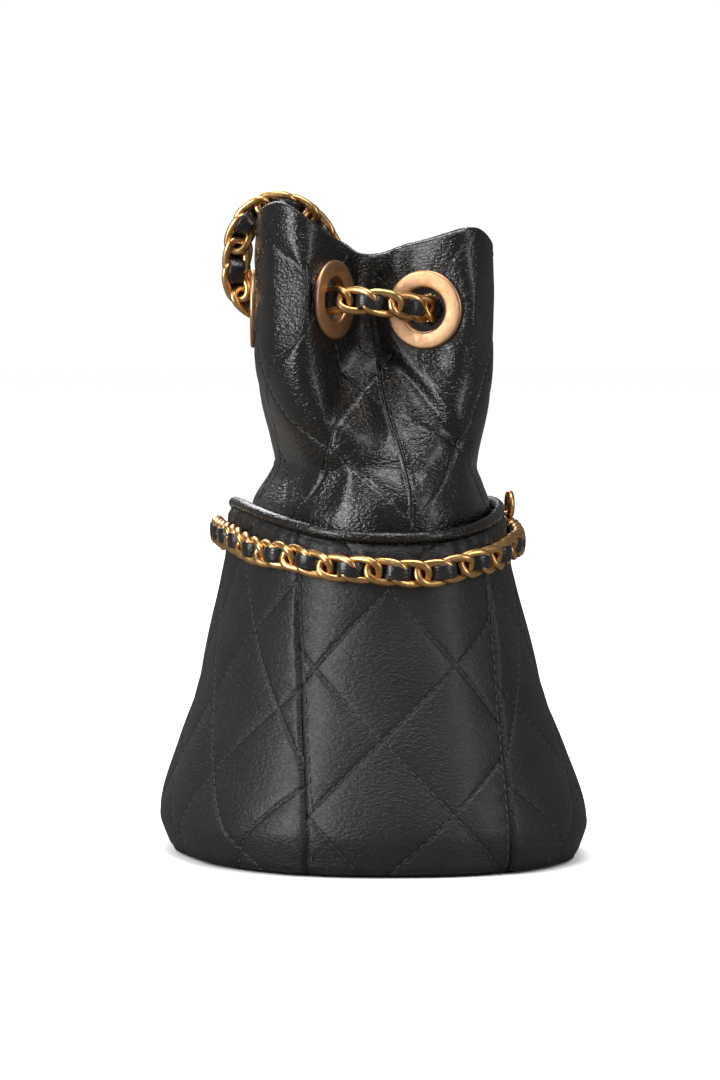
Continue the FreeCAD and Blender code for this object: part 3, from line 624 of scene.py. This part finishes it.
def make_skirt():
    stitches = []
    for node, (first, last, across_shift, up_shift, slant) in SKIRT_PANELS.items():
        gusset = "gusset" in node
        grid = panel_grid(first, last, GUSSET_COLUMNS if gusset else SIDE_COLUMNS, SKIRT_ROWS)
        quilt = Quilt(grid, across_shift, up_shift, slant, QUILT_PUFF)
        below_rim = quilt.up[:, -1:] - quilt.up
        crinkle = ripple(quilt.across / 1.3, quilt.up / 5.0, 21) * np.exp(-(below_rim / 8.0) ** 2)
        quilt.lift += 0.5 * crinkle - 0.9 * np.exp(-(below_rim / 1.4) ** 2)
        quilt.lift -= 1.5 * np.exp(-(quilt.up / 1.7) ** 2)
        surface = quilt.surface()
        inner = grid - quilt.normal * SKIRT_WALL
        loop = np.concatenate([surface, inner[:, ::-1]], axis=1)
        panel = grid_object(node + "_quilted", loop, SKIRT_LEATHER, closed_v=True)
        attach(panel, "bag")
        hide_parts(node)
        stitches += quilt.stitch_places(surface, quilt.quilt_lines())
        if gusset:
            ups = np.arange(3, quilt.up[:, -1].max(), STITCH_PITCH)
            rows = (ups / quilt.up[0, -1] * (SKIRT_ROWS - 1)).astype(int)
            wide = quilt.across[-1, np.clip(rows, 0, SKIRT_ROWS - 1)]
            for side in (-1, 1):
                line = [(side * (width - SEAM_STITCH_INSET), up) for width, up in zip(wide, ups)]
                stitches += quilt.stitch_places(surface, [line])
    shape, faces = stitch_shape()
    thread_piece = many("skirt_stitches", shape, faces, stitches, THREAD)
    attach(thread_piece, "bag")


def make_rim_binding():
    degrees = np.linspace(0, 360, 720, endpoint=False)
    height = rim_height(oval(RIM_SPAN, RIM_DEPTH, degrees)[0])
    path = skirt_point(degrees, height, -SKIRT_WALL / 2)
    path[:, 2] = rim_height(path[:, 0]) + BINDING_RADIUS * 0.75
    out = path * (1, 1, 0)
    turns = np.radians(degrees)
    girth = BINDING_RADIUS * (1 + 0.025 * np.sin(turns * 23) + 0.02 * np.sin(turns * 57 + 1))
    closed, outs, girths = [np.concatenate([part[-3:], part, part[:3]]) for part in (path, out, girth)]
    rings = tube_points(closed, outs, girths, 14)
    binding = grid_object("rim_binding_roll", rings[3:-3], NECK_LEATHER, closed_u=True, closed_v=True)
    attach(binding, "bag")
    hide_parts("rim_binding")


# ---- neck ----

def rotate(points, degrees):
    """Points turned about the bag's upright axis."""
    angle = np.radians(degrees)
    x, y = points[..., 0], points[..., 1]
    return np.stack([x * np.cos(angle) - y * np.sin(angle), x * np.sin(angle) + y * np.cos(angle),
                     points[..., 2]], axis=-1)


def neck_to_bag(points):
    return rotate(np.asarray(points, float), -NECK_TWIST)


# How far the neck's foot stays inside the skirt's outer face.
NECK_FOOT_INSET = 4.1


def ring_sizes(height):
    """The neck's half width, half depth and shift at a height, before it folds into the mouth."""
    foot_width, foot_depth, lean = [float(value) for value in skirt_sizes(NECK_FOOT)]
    levels = (NECK_FOOT, NECK_FOOT + 8, BAND_LEVEL, WAIST_LEVEL, SHOULDER_LEVEL)
    widths = (foot_width - NECK_FOOT_INSET, BAND_WIDTH + 1, BAND_WIDTH, WAIST_WIDTH, WAIST_WIDTH)
    depths = (foot_depth - NECK_FOOT_INSET, BAND_DEPTH + 0.6, BAND_DEPTH, WAIST_DEPTH, BAND_DEPTH)
    shifts = [(NECK_FOOT, lean), (BAND_LEVEL, 0.5), (WAIST_LEVEL, -1.1), (SHOULDER_LEVEL, -0.6)]
    curves = (list(zip(levels, widths)), list(zip(levels, depths)), shifts)
    return [through(curve, height) for curve in curves]


def neck_controls(heights):
    """The 30 points of the neck's outline at each height, in the row frame."""
    heights = np.asarray(heights, float)
    half_width, half_depth, shift = ring_sizes(heights)
    share = smooth(heights, BAND_LEVEL + 2, SHOULDER_LEVEL)
    near = []
    for (across, along), angle in zip(MOUTH, RING_ANGLES):
        ring_across, ring_along = oval(half_width, half_depth, angle)
        near.append(np.stack([(share - 1) * ring_across + share * across,
                              (1 - share) * (ring_along + shift) + share * along, heights], axis=-1))
    far = [point * (-1, 1, 1) for point in near[-2:0:-1]]
    points = np.stack(near + far)
    return rotate(points, -NECK_TWIST * smooth(heights, BAND_LEVEL - 4, SHOULDER_LEVEL))


# Levels at which the neck's outline is worked out, and the one near the eyelets that sets the edge.
ABOVE_MOUTH, NECK_LEVELS, EYELET_ROW = 198, 240, 150
NECK_COLUMNS, NECK_ROWS, NECK_LINING_ROWS, LINING_BELOW_TOP = 380, 260, 120, 11.0
NECK_BORE, LINING_BORE, THREAD_CLEAR_OF_EYELET, FIRST_THREAD_LEVEL = 8.6, 4.5, 12.2, 106


def spline_weights(count, places):
    """Weights that turn a closed outline's points into points of its smooth curve."""
    own = np.eye(count)
    matrix = own * 4 + np.roll(own, 1, 0) + np.roll(own, -1, 0)
    slopes = np.linalg.solve(matrix, 3 * (np.roll(own, 1, 1) - np.roll(own, -1, 1)))
    places = np.asarray(places, float) % count
    index = np.minimum(places.astype(int), count - 1)
    share = (places - index)[:, None]
    after = (index + 1) % count
    return hermite(share, own[index], slopes[index], own[after], slopes[after])


def top_height(points):
    """Height of the mouth's edge above a place given in the row frame."""
    local = rotate(points, NECK_TWIST)
    across, through_bag = local[..., 0], local[..., 1]
    edge = through(TOP_EDGE, through_bag)
    edge = edge - FRONT_BACK_DROP * (1 - smooth(np.abs(across), 30, 44))
    return edge + 2.0 * smooth(-through_bag, -4, 6) * (1 - smooth(-through_bag, 37, 45))


def eyelet_frame(name):
    body, across, along, height, facing = EYELETS[name]
    angle = math.radians(facing)
    outward = neck_to_bag(np.array([-math.cos(angle), math.sin(angle), 0.0]))
    centre = neck_to_bag(np.array([across, along, height])) + outward * 0.4
    side = np.cross((0.0, 0.0, 1.0), outward)
    return centre, np.array([side, (0.0, 0.0, 1.0), outward])


EYELET_FRAMES = {name: eyelet_frame(name) for name in EYELETS}


def neck_grid(places, count_v, inward=0.0, below_top=0.0):
    """Points of the neck's surface: outline places across, heights from its foot to its edge."""
    weights = spline_weights(2 * len(MOUTH) - 2, places)
    dense = np.linspace(NECK_FOOT, ABOVE_MOUTH, NECK_LEVELS)
    curves = np.einsum("pk,khc->phc", weights, neck_controls(dense))
    top = top_height(curves[:, EYELET_ROW]) - below_top
    grid = np.empty((len(places), count_v, 3))
    share = np.linspace(0, 1, count_v)
    for index in range(len(places)):
        height = NECK_FOOT + (top[index] - NECK_FOOT) * share
        for axis in range(3):
            grid[index, :, axis] = np.interp(height, dense, curves[index, :, axis])
    return grid - normals_of(grid) * (1, 1, 0) * inward


def settle_round_eyelets(grid, inward=0.0, sink=0.35):
    """Draws the leather flat under each eyelet, with small pulls round it."""
    level = -sink - inward
    for centre, axes in EYELET_FRAMES.values():
        offset = grid - centre
        height = offset @ axes[2]
        right, up = offset @ axes[0], offset @ axes[1]
        radius = np.hypot(right, up)
        near = 1 - smooth(np.abs(height - level), 7.0, 13.0)
        weight = (1 - smooth(radius, 12.2, 24.0)) * near
        angle = np.arctan2(up, right)
        pulls = 0.28 * np.cos(6 * angle + 2.0 * np.cos(2 * angle)) * np.exp(-((radius - 16) / 4.0) ** 2)
        grid = grid + ((level - height) * weight + pulls * near)[..., None] * axes[2]
    return grid


def clear_of_bores(reach):
    """A test of which points stay clear of every eyelet's bore by a reach from its axis."""
    def keep(centres):
        good = np.ones(len(centres), bool)
        for centre, axes in EYELET_FRAMES.values():
            offset = centres - centre
            radius = np.hypot(offset @ axes[0], offset @ axes[1])
            good &= (radius > reach) | (np.abs(offset @ axes[2]) > 8)
        return good
    return keep


# Deliberate folds on each gusset lobe, in the neck's turned frame: both ends of the fold's line
# as (through, height), its half-width, and how far it stands out (or, below zero, sinks in).
LOBE_FOLDS = [((-5.0, 150.0), (-25.0, 124.0), 2.6, -1.7), ((-13.0, 147.0), (-24.0, 132.0), 5.0, 1.0),
              ((1.0, 146.0), (2.0, 128.0), 5.5, 1.9), ((9.0, 150.0), (11.0, 126.0), 3.2, -1.3),
              ((22.0, 178.0), (24.0, 130.0), 6.0, 0.9), ((-9.0, 108.0), (-7.0, 124.0), 3.5, 1.0),
              ((14.0, 106.0), (7.0, 122.0), 3.0, -0.8)]


def fold_lift(along, height):
    total = np.zeros_like(along)
    for (start, low), (end, high), width, lift in LOBE_FOLDS:
        run, rise = end - start, high - low
        share = ((along - start) * run + (height - low) * rise) / (run ** 2 + rise ** 2)
        share = np.clip(share, 0.0, 1.0)
        distance = np.hypot(along - start - share * run, height - low - share * rise)
        total += lift * np.exp(-(distance / width) ** 2)
    return total


def lobe_folds_at(points):
    """How far the gusset lobes' own folds lift the leather at these points."""
    local = rotate(points, NECK_TWIST)
    reach = np.abs(local[..., 0])
    weight = smooth(reach, 26, 36) * smooth(reach + 0.8 * local[..., 1], 12, 20)
    return fold_lift(local[..., 1], points[..., 2]) * weight


def neck_folds(quilt, places, heights):
    """Folds of the soft leather: slack round the waist and above it, and the gusset's seam."""
    p, z = places[:, None], heights
    waist = np.exp(-((z - 117.0) / 11.0) ** 2)
    gathers = np.sin(p * 2 * math.pi / 2.3 + 1.5 * np.sin(z / 13.0))
    gathers = gathers + 0.5 * ripple(quilt.across / 4, quilt.up / 11, 30)
    lift = 0.28 * waist * gathers
    lift += 0.32 * ripple(quilt.across / 13, quilt.up / 24, 31) * smooth(z, 118, 135)
    lift += lobe_folds_at(quilt.flat)
    for seam in (8.0, 22.0):
        distance = (p - seam) * 8.6
        lift += 0.8 * np.exp(-(distance / 0.6) ** 2) - 0.45 * np.exp(-((distance - 1.3) / 0.8) ** 2)
    waist_crease = np.exp(-((z - 116.5 - 1.5 * np.sin(p * 1.3)) / 2.4) ** 2)
    return lift - 0.4 * waist_crease


def make_neck():
    halves = {"near": (0.0, 15.0, "near_gusset"), "far": (15.0, 30.0, "far_gusset")}
    for side, (first, last, lobe) in halves.items():
        places = np.linspace(first, last, NECK_COLUMNS)
        grid = neck_grid(places, NECK_ROWS)
        quilt = Quilt(grid, 4.0 if side == "near" else -4.0, 18.0, 0.0, 0.35, edges=False)
        fade = smooth(grid[..., 2], 96, 110)
        quilt.lift = quilt.lift * fade + neck_folds(quilt, places, grid[..., 2]) * fade
        ends = np.minimum(places - first, last - places)[:, None]
        quilt.lift *= smooth(ends, 0.0, 0.6) * smooth(grid[:, -1:, 2] - grid[..., 2], 0.8, 6.0)
        surface = settle_round_eyelets(quilt.surface())
        thickness = NECK_WALL - 0.3
        inner = surface - normals_of(surface) * thickness
        middle, reach = (surface[:, -1] + inner[:, -1]) / 2, (surface[:, -1] - inner[:, -1]) / 2
        turns = np.linspace(0, math.pi, 9)[1:-1]
        roll = np.stack([middle + reach * math.cos(turn) + (0, 0, math.sin(turn) * thickness / 2)
                         for turn in turns], axis=1)
        kept_rows = surface.shape[1] // 4
        loop = np.concatenate([surface, roll, inner[:, :kept_rows:-1]], axis=1)
        skin = grid_object("neck_leather_" + side, loop, NECK_LEATHER, keep=clear_of_bores(NECK_BORE))
        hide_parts(*(["neck_band", "neck_front", "neck_gusset_near"] if side == "near"
                            else ["neck_back", "neck_gusset_far"]))
        lining_grid = neck_grid(places, NECK_LINING_ROWS, NECK_WALL + 0.5, LINING_BELOW_TOP)
        pushed_in = np.minimum(lobe_folds_at(lining_grid), 0.0)
        lining_grid = lining_grid + normals_of(lining_grid) * pushed_in[..., None]
        lining_grid = settle_round_eyelets(lining_grid, NECK_WALL + 0.4)
        lining = grid_object("neck_lining_" + side, lining_grid[:, ::-1], LINING_CLOTH,
                             keep=clear_of_bores(LINING_BORE))
        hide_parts(*(["neck_lining_front", "neck_lining_gusset_near"] if side == "near"
                              else ["neck_lining_back", "neck_lining_gusset_far"]))
        shape, faces = stitch_shape()
        clear = clear_of_bores(THREAD_CLEAR_OF_EYELET)
        stitches = [place for place in quilt.stitch_places(surface, quilt.quilt_lines())
                    if place[0][2] > FIRST_THREAD_LEVEL and clear(place[0][None])[0]]
        thread_piece = many("neck_stitches_" + side, shape, faces, stitches, THREAD)
        for piece in (skin, lining, thread_piece):
            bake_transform(piece)


# ---- eyelets ----

def eyelet_profile():
    """Half section of an eyelet, radius and height over its seat: a flat flange with soft edges."""
    hole, outer, top = EYELET_HOLE / 2, EYELET_OUTER / 2, EYELET_FLANGE
    profile = [(outer - 0.15, -0.25), (outer, 0.1), (outer - 0.02, top - 0.55), (outer - 0.14, top - 0.25),
               (outer - 0.4, top - 0.06)]
    profile += [(outer - 0.8, top), (outer - 2.0, top + 0.05), (hole + 2.2, top + 0.05), (hole + 1.2, top)]
    for step in range(6):
        angle = math.pi * step / 10
        profile.append((hole + 0.7 - 0.7 * math.sin(angle), top - 0.75 + 0.7 * math.cos(angle)))
    depth = EYELET_FLANGE - EYELET_DEPTH
    profile += [(hole, depth + 0.6), (hole, depth), (hole + 0.5, depth - 0.25), (hole + 0.7, depth)]
    return profile


def lathe(profile, centre, axes, count=72):
    angles = circle_angles(count)
    radius, height = np.array(profile).T
    local = np.stack([np.cos(angles)[:, None] * radius, np.sin(angles)[:, None] * radius,
                      np.broadcast_to(height, (count, len(height)))], axis=-1)
    return centre + local @ axes


def make_eyelets():
    profile = eyelet_profile()
    for name, (body, *rest) in EYELETS.items():
        centre, axes = EYELET_FRAMES[name]
        ring = grid_object(name + "_polished", lathe(profile, centre, axes), EYELET_GOLD, closed_u=True)
        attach(ring, body)
        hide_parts(name)


# ---- chains ----

LINK_HALF_LENGTH, LINK_HALF_WIDTH, LINK_TWIST, LINK_WIRE = 5.3, 3.0, 0.9, 1.1
LACE_HALF_WIDTH, LACE_HALF_THICKNESS, LACE_WAVE, STRAP_LACE_WAVE = 2.3, 0.5, 1.8, 3.2

# Divides a chain's height out of its outward direction, which leaves the direction level.
LEVEL = 1e9


def link_shape():
    """A curb link: an oval of flattened wire, twisted so that the links lie flat side by side."""
    steps, sides = 44, 10
    turn = circle_angles(steps)
    path = np.stack([LINK_HALF_LENGTH * signed_power(np.cos(turn), 0.9),
                     LINK_HALF_WIDTH * signed_power(np.sin(turn), 0.8),
                     LINK_TWIST * np.sin(2 * turn)], axis=-1)
    along = unit(np.roll(path, -1, 0) - np.roll(path, 1, 0))
    out = square_to(np.tile((0.0, 0.0, 1.0), (steps, 1)), along)
    angles = circle_angles(sides)
    wide = LINK_WIRE * 1.05 * np.cos(angles)
    tall = LINK_WIRE * 0.95 * signed_power(np.sin(angles), 0.7)
    rings = section_rings(path, wide, np.cross(along, out), tall, out)
    return rings.reshape(-1, 3), grid_faces(steps, sides, True, True).tolist()


def path_marks(path, closed=False):
    """How far along a path each of its points lies, and at the end of a closed one its girth."""
    line = np.concatenate([path, path[:1]]) if closed else path
    return np.concatenate([[0], np.cumsum(np.linalg.norm(np.diff(line, axis=0), axis=1))])


def resample(path, values, count, closed=False):
    """Values given one to each point of a path, read at evenly spaced places along it."""
    marks = path_marks(path, closed)
    if closed:
        values = np.concatenate([values, values[:1]])
    wanted = np.linspace(0, marks[-1], count, endpoint=not closed)
    return np.stack([np.interp(wanted, marks, values[:, axis]) for axis in range(3)], axis=-1)


def path_frames(path, outs, count, closed):
    """Evenly spaced points of a path, and the directions along, across and out at each."""
    points = resample(path, path, count, closed)
    step = np.roll(points, -1, 0) - np.roll(points, 1, 0) if closed else np.gradient(points, axis=0)
    along = unit(step)
    out = square_to(resample(path, outs, count, closed), along)
    return points, along, np.cross(out, along), out


def carried_normals(points, first):
    """One side direction carried along a path without twisting it."""
    outs, out = [], np.asarray(first, float)
    for direction in unit(np.gradient(points, axis=0)):
        out = square_to(out, direction)
        outs.append(out)
    return np.array(outs)


def chain_links(name, path, outs, count, closed):
    points, along, width, out = path_frames(path, outs, count, closed)
    random = np.random.default_rng(len(name) + count)
    places = []
    for index in range(count):
        tilt = random.uniform(-0.05, 0.05)
        side = width[index] * math.cos(tilt) + out[index] * math.sin(tilt)
        up = out[index] * math.cos(tilt) - width[index] * math.sin(tilt)
        origin = points[index] + out[index] * random.uniform(-0.15, 0.15)
        places.append((origin, np.array([along[index], side, up])))
    shape, faces = link_shape()
    return many(name + "_links", shape, faces, places, CHAIN_GOLD)


def chain_lace(name, path, outs, count, closed, lace_wave):
    """The lace: a flat band that goes over one link and under the next."""
    per_link = 10
    total = count * per_link if closed else (count - 1) * per_link + 1
    spots, _, width, out = path_frames(path, outs, total, closed)
    phase = math.pi * (np.arange(total) / per_link - 0.5)
    middle = spots + out * (lace_wave * signed_power(np.cos(phase), 0.55))[:, None]
    angles = circle_angles(12)
    swell = 1 + 0.02 * np.cos(phase * 2)
    wide = LACE_HALF_WIDTH * signed_power(np.cos(angles), 0.6) * swell[:, None]
    tall = LACE_HALF_THICKNESS * signed_power(np.sin(angles), 0.8)
    rings = section_rings(middle, wide, width, tall, out)
    return grid_object(name + "_lace", rings, LACE_LEATHER, closed_u=closed, closed_v=True)


def chain_pieces(name, path, outs, closed=False, lace_wave=LACE_WAVE):
    """Links one pitch apart along a path, and the lace that weaves through them."""
    count = int(round(path_marks(path, closed)[-1] / LINK_PITCH))
    if closed:
        count -= count % 2
    return (chain_links(name, path, outs, count, closed),
            chain_lace(name, path, outs, count, closed, lace_wave))


def make_rim_chain():
    degrees = np.linspace(0, 360, 720, endpoint=False) - 90.25
    height = rim_height(oval(RIM_SPAN, RIM_DEPTH, degrees)[0]) - RIM_CHAIN_DROP
    sag = 0.5 * np.sin(np.radians(degrees) * 5 + 1) + 0.35 * np.sin(np.radians(degrees) * 11)
    path = skirt_point(degrees, height + sag, RIM_CHAIN_STANDOFF)
    outs = path / (RIM_SPAN ** 2, RIM_DEPTH ** 2, LEVEL)
    links, lace = chain_pieces("rim_chain", path, outs, closed=True)
    for piece, slot_name, node in ((links, "chain_gold", "rim_chain_links"),
                                   (lace, "lace_leather", "rim_chain_lace")):
        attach(piece, "bag")
        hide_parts(node)


def curve_through(stops, per_run=24):
    """A smooth open line through given stops."""
    stops = np.asarray(stops, float)
    padded = np.concatenate([[2 * stops[0] - stops[1]], stops, [2 * stops[-1] - stops[-2]]])
    found = []
    for a, b, c, d in zip(padded, padded[1:], padded[2:], padded[3:]):
        for share in np.linspace(0, 1, per_run, endpoint=False):
            found.append(0.5 * (2 * b + (c - a) * share + (2 * a - 5 * b + 4 * c - d) * share ** 2
                                + (3 * b - a - 3 * c + d) * share ** 3))
    return np.array(found + [stops[-1]])


# Runs of the drawstring in the neck's turned frame: across, through, height.
BACK_STOPS = [(-20.5, 31.5, 160.5), (-27.0, 27.0, 161.5), (-36.0, 23.0, 163.0)]
NEAR_STOPS = [(-38.0, 22.0, 163.5), (-45.0, 18.0, 164.5), (-51.5, 10.5, 165.5), (-56.0, 1.0, 165.0),
              (-52.0, -10.5, 163.5), (-43.0, -16.0, 162.5), (-37.0, -20.5, 162.5)]
FRONT_STOPS = [(-30.5, -22.5, 162.5), (-25.0, -21.0, 162.5), (-20.5, -21.5, 162.5), (-17.5, -25.0, 162.5),
               (-13.5, -28.8, 162.5), (-8.0, -31.4, 162.0), (0.0, -31.2, 161.5)]


def mirrored(stops):
    return [(-across, along, height) for across, along, height in stops[::-1]]


def make_drawstring():
    half = BACK_STOPS + NEAR_STOPS + FRONT_STOPS
    sides = {"near": (half, "near_gusset"), "far": (mirrored(half), "far_gusset")}
    for side, (stops, lobe) in sides.items():
        path = neck_to_bag(curve_through(stops))
        outs = path / (60.0 ** 2, 35.0 ** 2, LEVEL)
        links, lace = chain_pieces("drawstring_" + side, path, outs)
        runs = ["gusset_near", "front"] if side == "near" else ["gusset_far"]
        for piece, slot_name, kind in ((links, "chain_gold", "links"), (lace, "lace_leather", "lace")):
            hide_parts(*["drawstring_%s_%s" % (kind, run) for run in runs])
            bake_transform(piece)


# ---- strap ----

STRAP_RESOLUTION, STRAP_POINTS, STOPS_PER_TURN, COIL_START_DEGREES = 12, 1600, 14, 96
STRAP_FIRST_OUT = (-0.85, 0.5, 0.2)


def strap_route():
    """The strap's control points: down from the near back eyelet, three turns, up to the far one."""
    route = list(STRAP_NEAR)
    total = COIL_TURNS * STOPS_PER_TURN
    for step in range(total + 1):
        share = step / total
        angle = math.radians(COIL_START_DEGREES - 360 * COIL_TURNS * share)
        radius = COIL_FIRST + (COIL_LAST - COIL_FIRST) * share
        route.append((radius * math.cos(angle), radius * math.sin(angle), COIL_LEVEL))
    return route + STRAP_FAR


def strap_line(route):
    data = bpy.data.curves.new("strap_route", "CURVE")
    data.dimensions = "3D"
    data.resolution_u = STRAP_RESOLUTION
    spline = data.splines.new("NURBS")
    spline.points.add(len(route) - 1)
    for point, spot in zip(spline.points, route):
        point.co = (*(Vector(spot) * MM), 1.0)
    spline.order_u = 3
    spline.use_endpoint_u = True
    thing = add_object("strap_route", data)
    bpy.context.view_layer.update()
    mesh = bpy.data.meshes.new_from_object(thing)
    points = np.array([tuple(vertex.co) for vertex in mesh.vertices])
    bpy.data.objects.remove(thing)
    bpy.data.meshes.remove(mesh)
    return points


def make_strap():
    line = strap_line(strap_route())
    path = resample(line / MM, line / MM, STRAP_POINTS)
    outs = carried_normals(path, STRAP_FIRST_OUT)
    links, lace = chain_pieces("strap", path, outs, lace_wave=STRAP_LACE_WAVE)
    for piece in (links, lace):
        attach(piece, "bag")
    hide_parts("strap_near_run", "strap_far_run", "strap_coil")


# ---- lining, base and the pieces kept from the frame ----

POUCH_COLUMNS, POUCH_ROWS, POUCH_FLOOR_ROWS, POUCH_FLOOR, POUCH_TOP = 240, 70, 12, 6.4, 90.0
BASE_INSET = -2.6
# The base's edge from its middle outward: share of the way out, and height.
BASE_PROFILE = [(0.02, 0.0), (0.35, 0.0), (0.7, 0.0), (0.96, 0.0), (0.985, 0.35), (0.99, 1.2), (0.99, 3.3)]


def pouch_rings(heights, out):
    """Points round the skirt at each height, offset outward from its surface."""
    degrees = np.linspace(0, 360, POUCH_COLUMNS, endpoint=False)[:, None]
    return skirt_point(degrees, heights[None, :], out)


def make_lining():
    wall = pouch_rings(np.linspace(POUCH_FLOOR, POUCH_TOP, POUCH_ROWS), -LINING_GAP)
    slack = ripple(lengths_along(wall, 0) / 8, lengths_along(wall, 1) / 14, 41)
    wall = wall - normals_of(wall) * (0.5 + 0.5 * slack)[..., None]
    shares = np.linspace(0.02, 1, POUCH_FLOOR_ROWS)[None, :, None]
    floor = wall[:, :1] * np.concatenate([shares, shares, np.ones_like(shares)], axis=2)
    grid = np.concatenate([floor[:, :-1], wall], axis=1)
    pouch = grid_object("lining_pouch", grid[::-1], LINING_CLOTH, closed_u=True)
    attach(pouch, "bag")
    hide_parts("lining")


def make_base():
    """The flat bottom, tucked inside the skirt's turned-under edge."""
    shares, heights = np.array(BASE_PROFILE).T
    edge = pouch_rings(np.full(len(shares), SKIRT_PROFILE[0][0]), BASE_INSET)
    levels = np.broadcast_to(heights, edge.shape[:2])[..., None]
    grid = np.concatenate([edge[..., :2] * shares[None, :, None], levels], axis=2)
    bottom = grid_object("base_leather", grid[::-1], SKIRT_LEATHER, closed_u=True)
    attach(bottom, "bag")
    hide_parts("base_panel")


def repaint():
    """Materials for the CAD pieces that stay."""
    paint = {"base_board": BOARD, "slip_pocket": LINING_CLOTH,
             "rim_ring": CHAIN_GOLD, "rim_ring_posts": CHAIN_GOLD, "eyelet_washers_gusset_near": EYELET_GOLD,
             "eyelet_washers_front_and_back": EYELET_GOLD, "eyelet_washers_gusset_far": EYELET_GOLD}
    for node, material in paint.items():
        thing = nodes[node]
        for slot in thing.material_slots:
            slot.material = material
        if not thing.material_slots:
            thing.data.materials.append(material)


make_strap()
make_skirt()
make_rim_binding()
make_neck()
make_eyelets()
make_rim_chain()
make_drawstring()
make_lining()
make_base()
repaint()
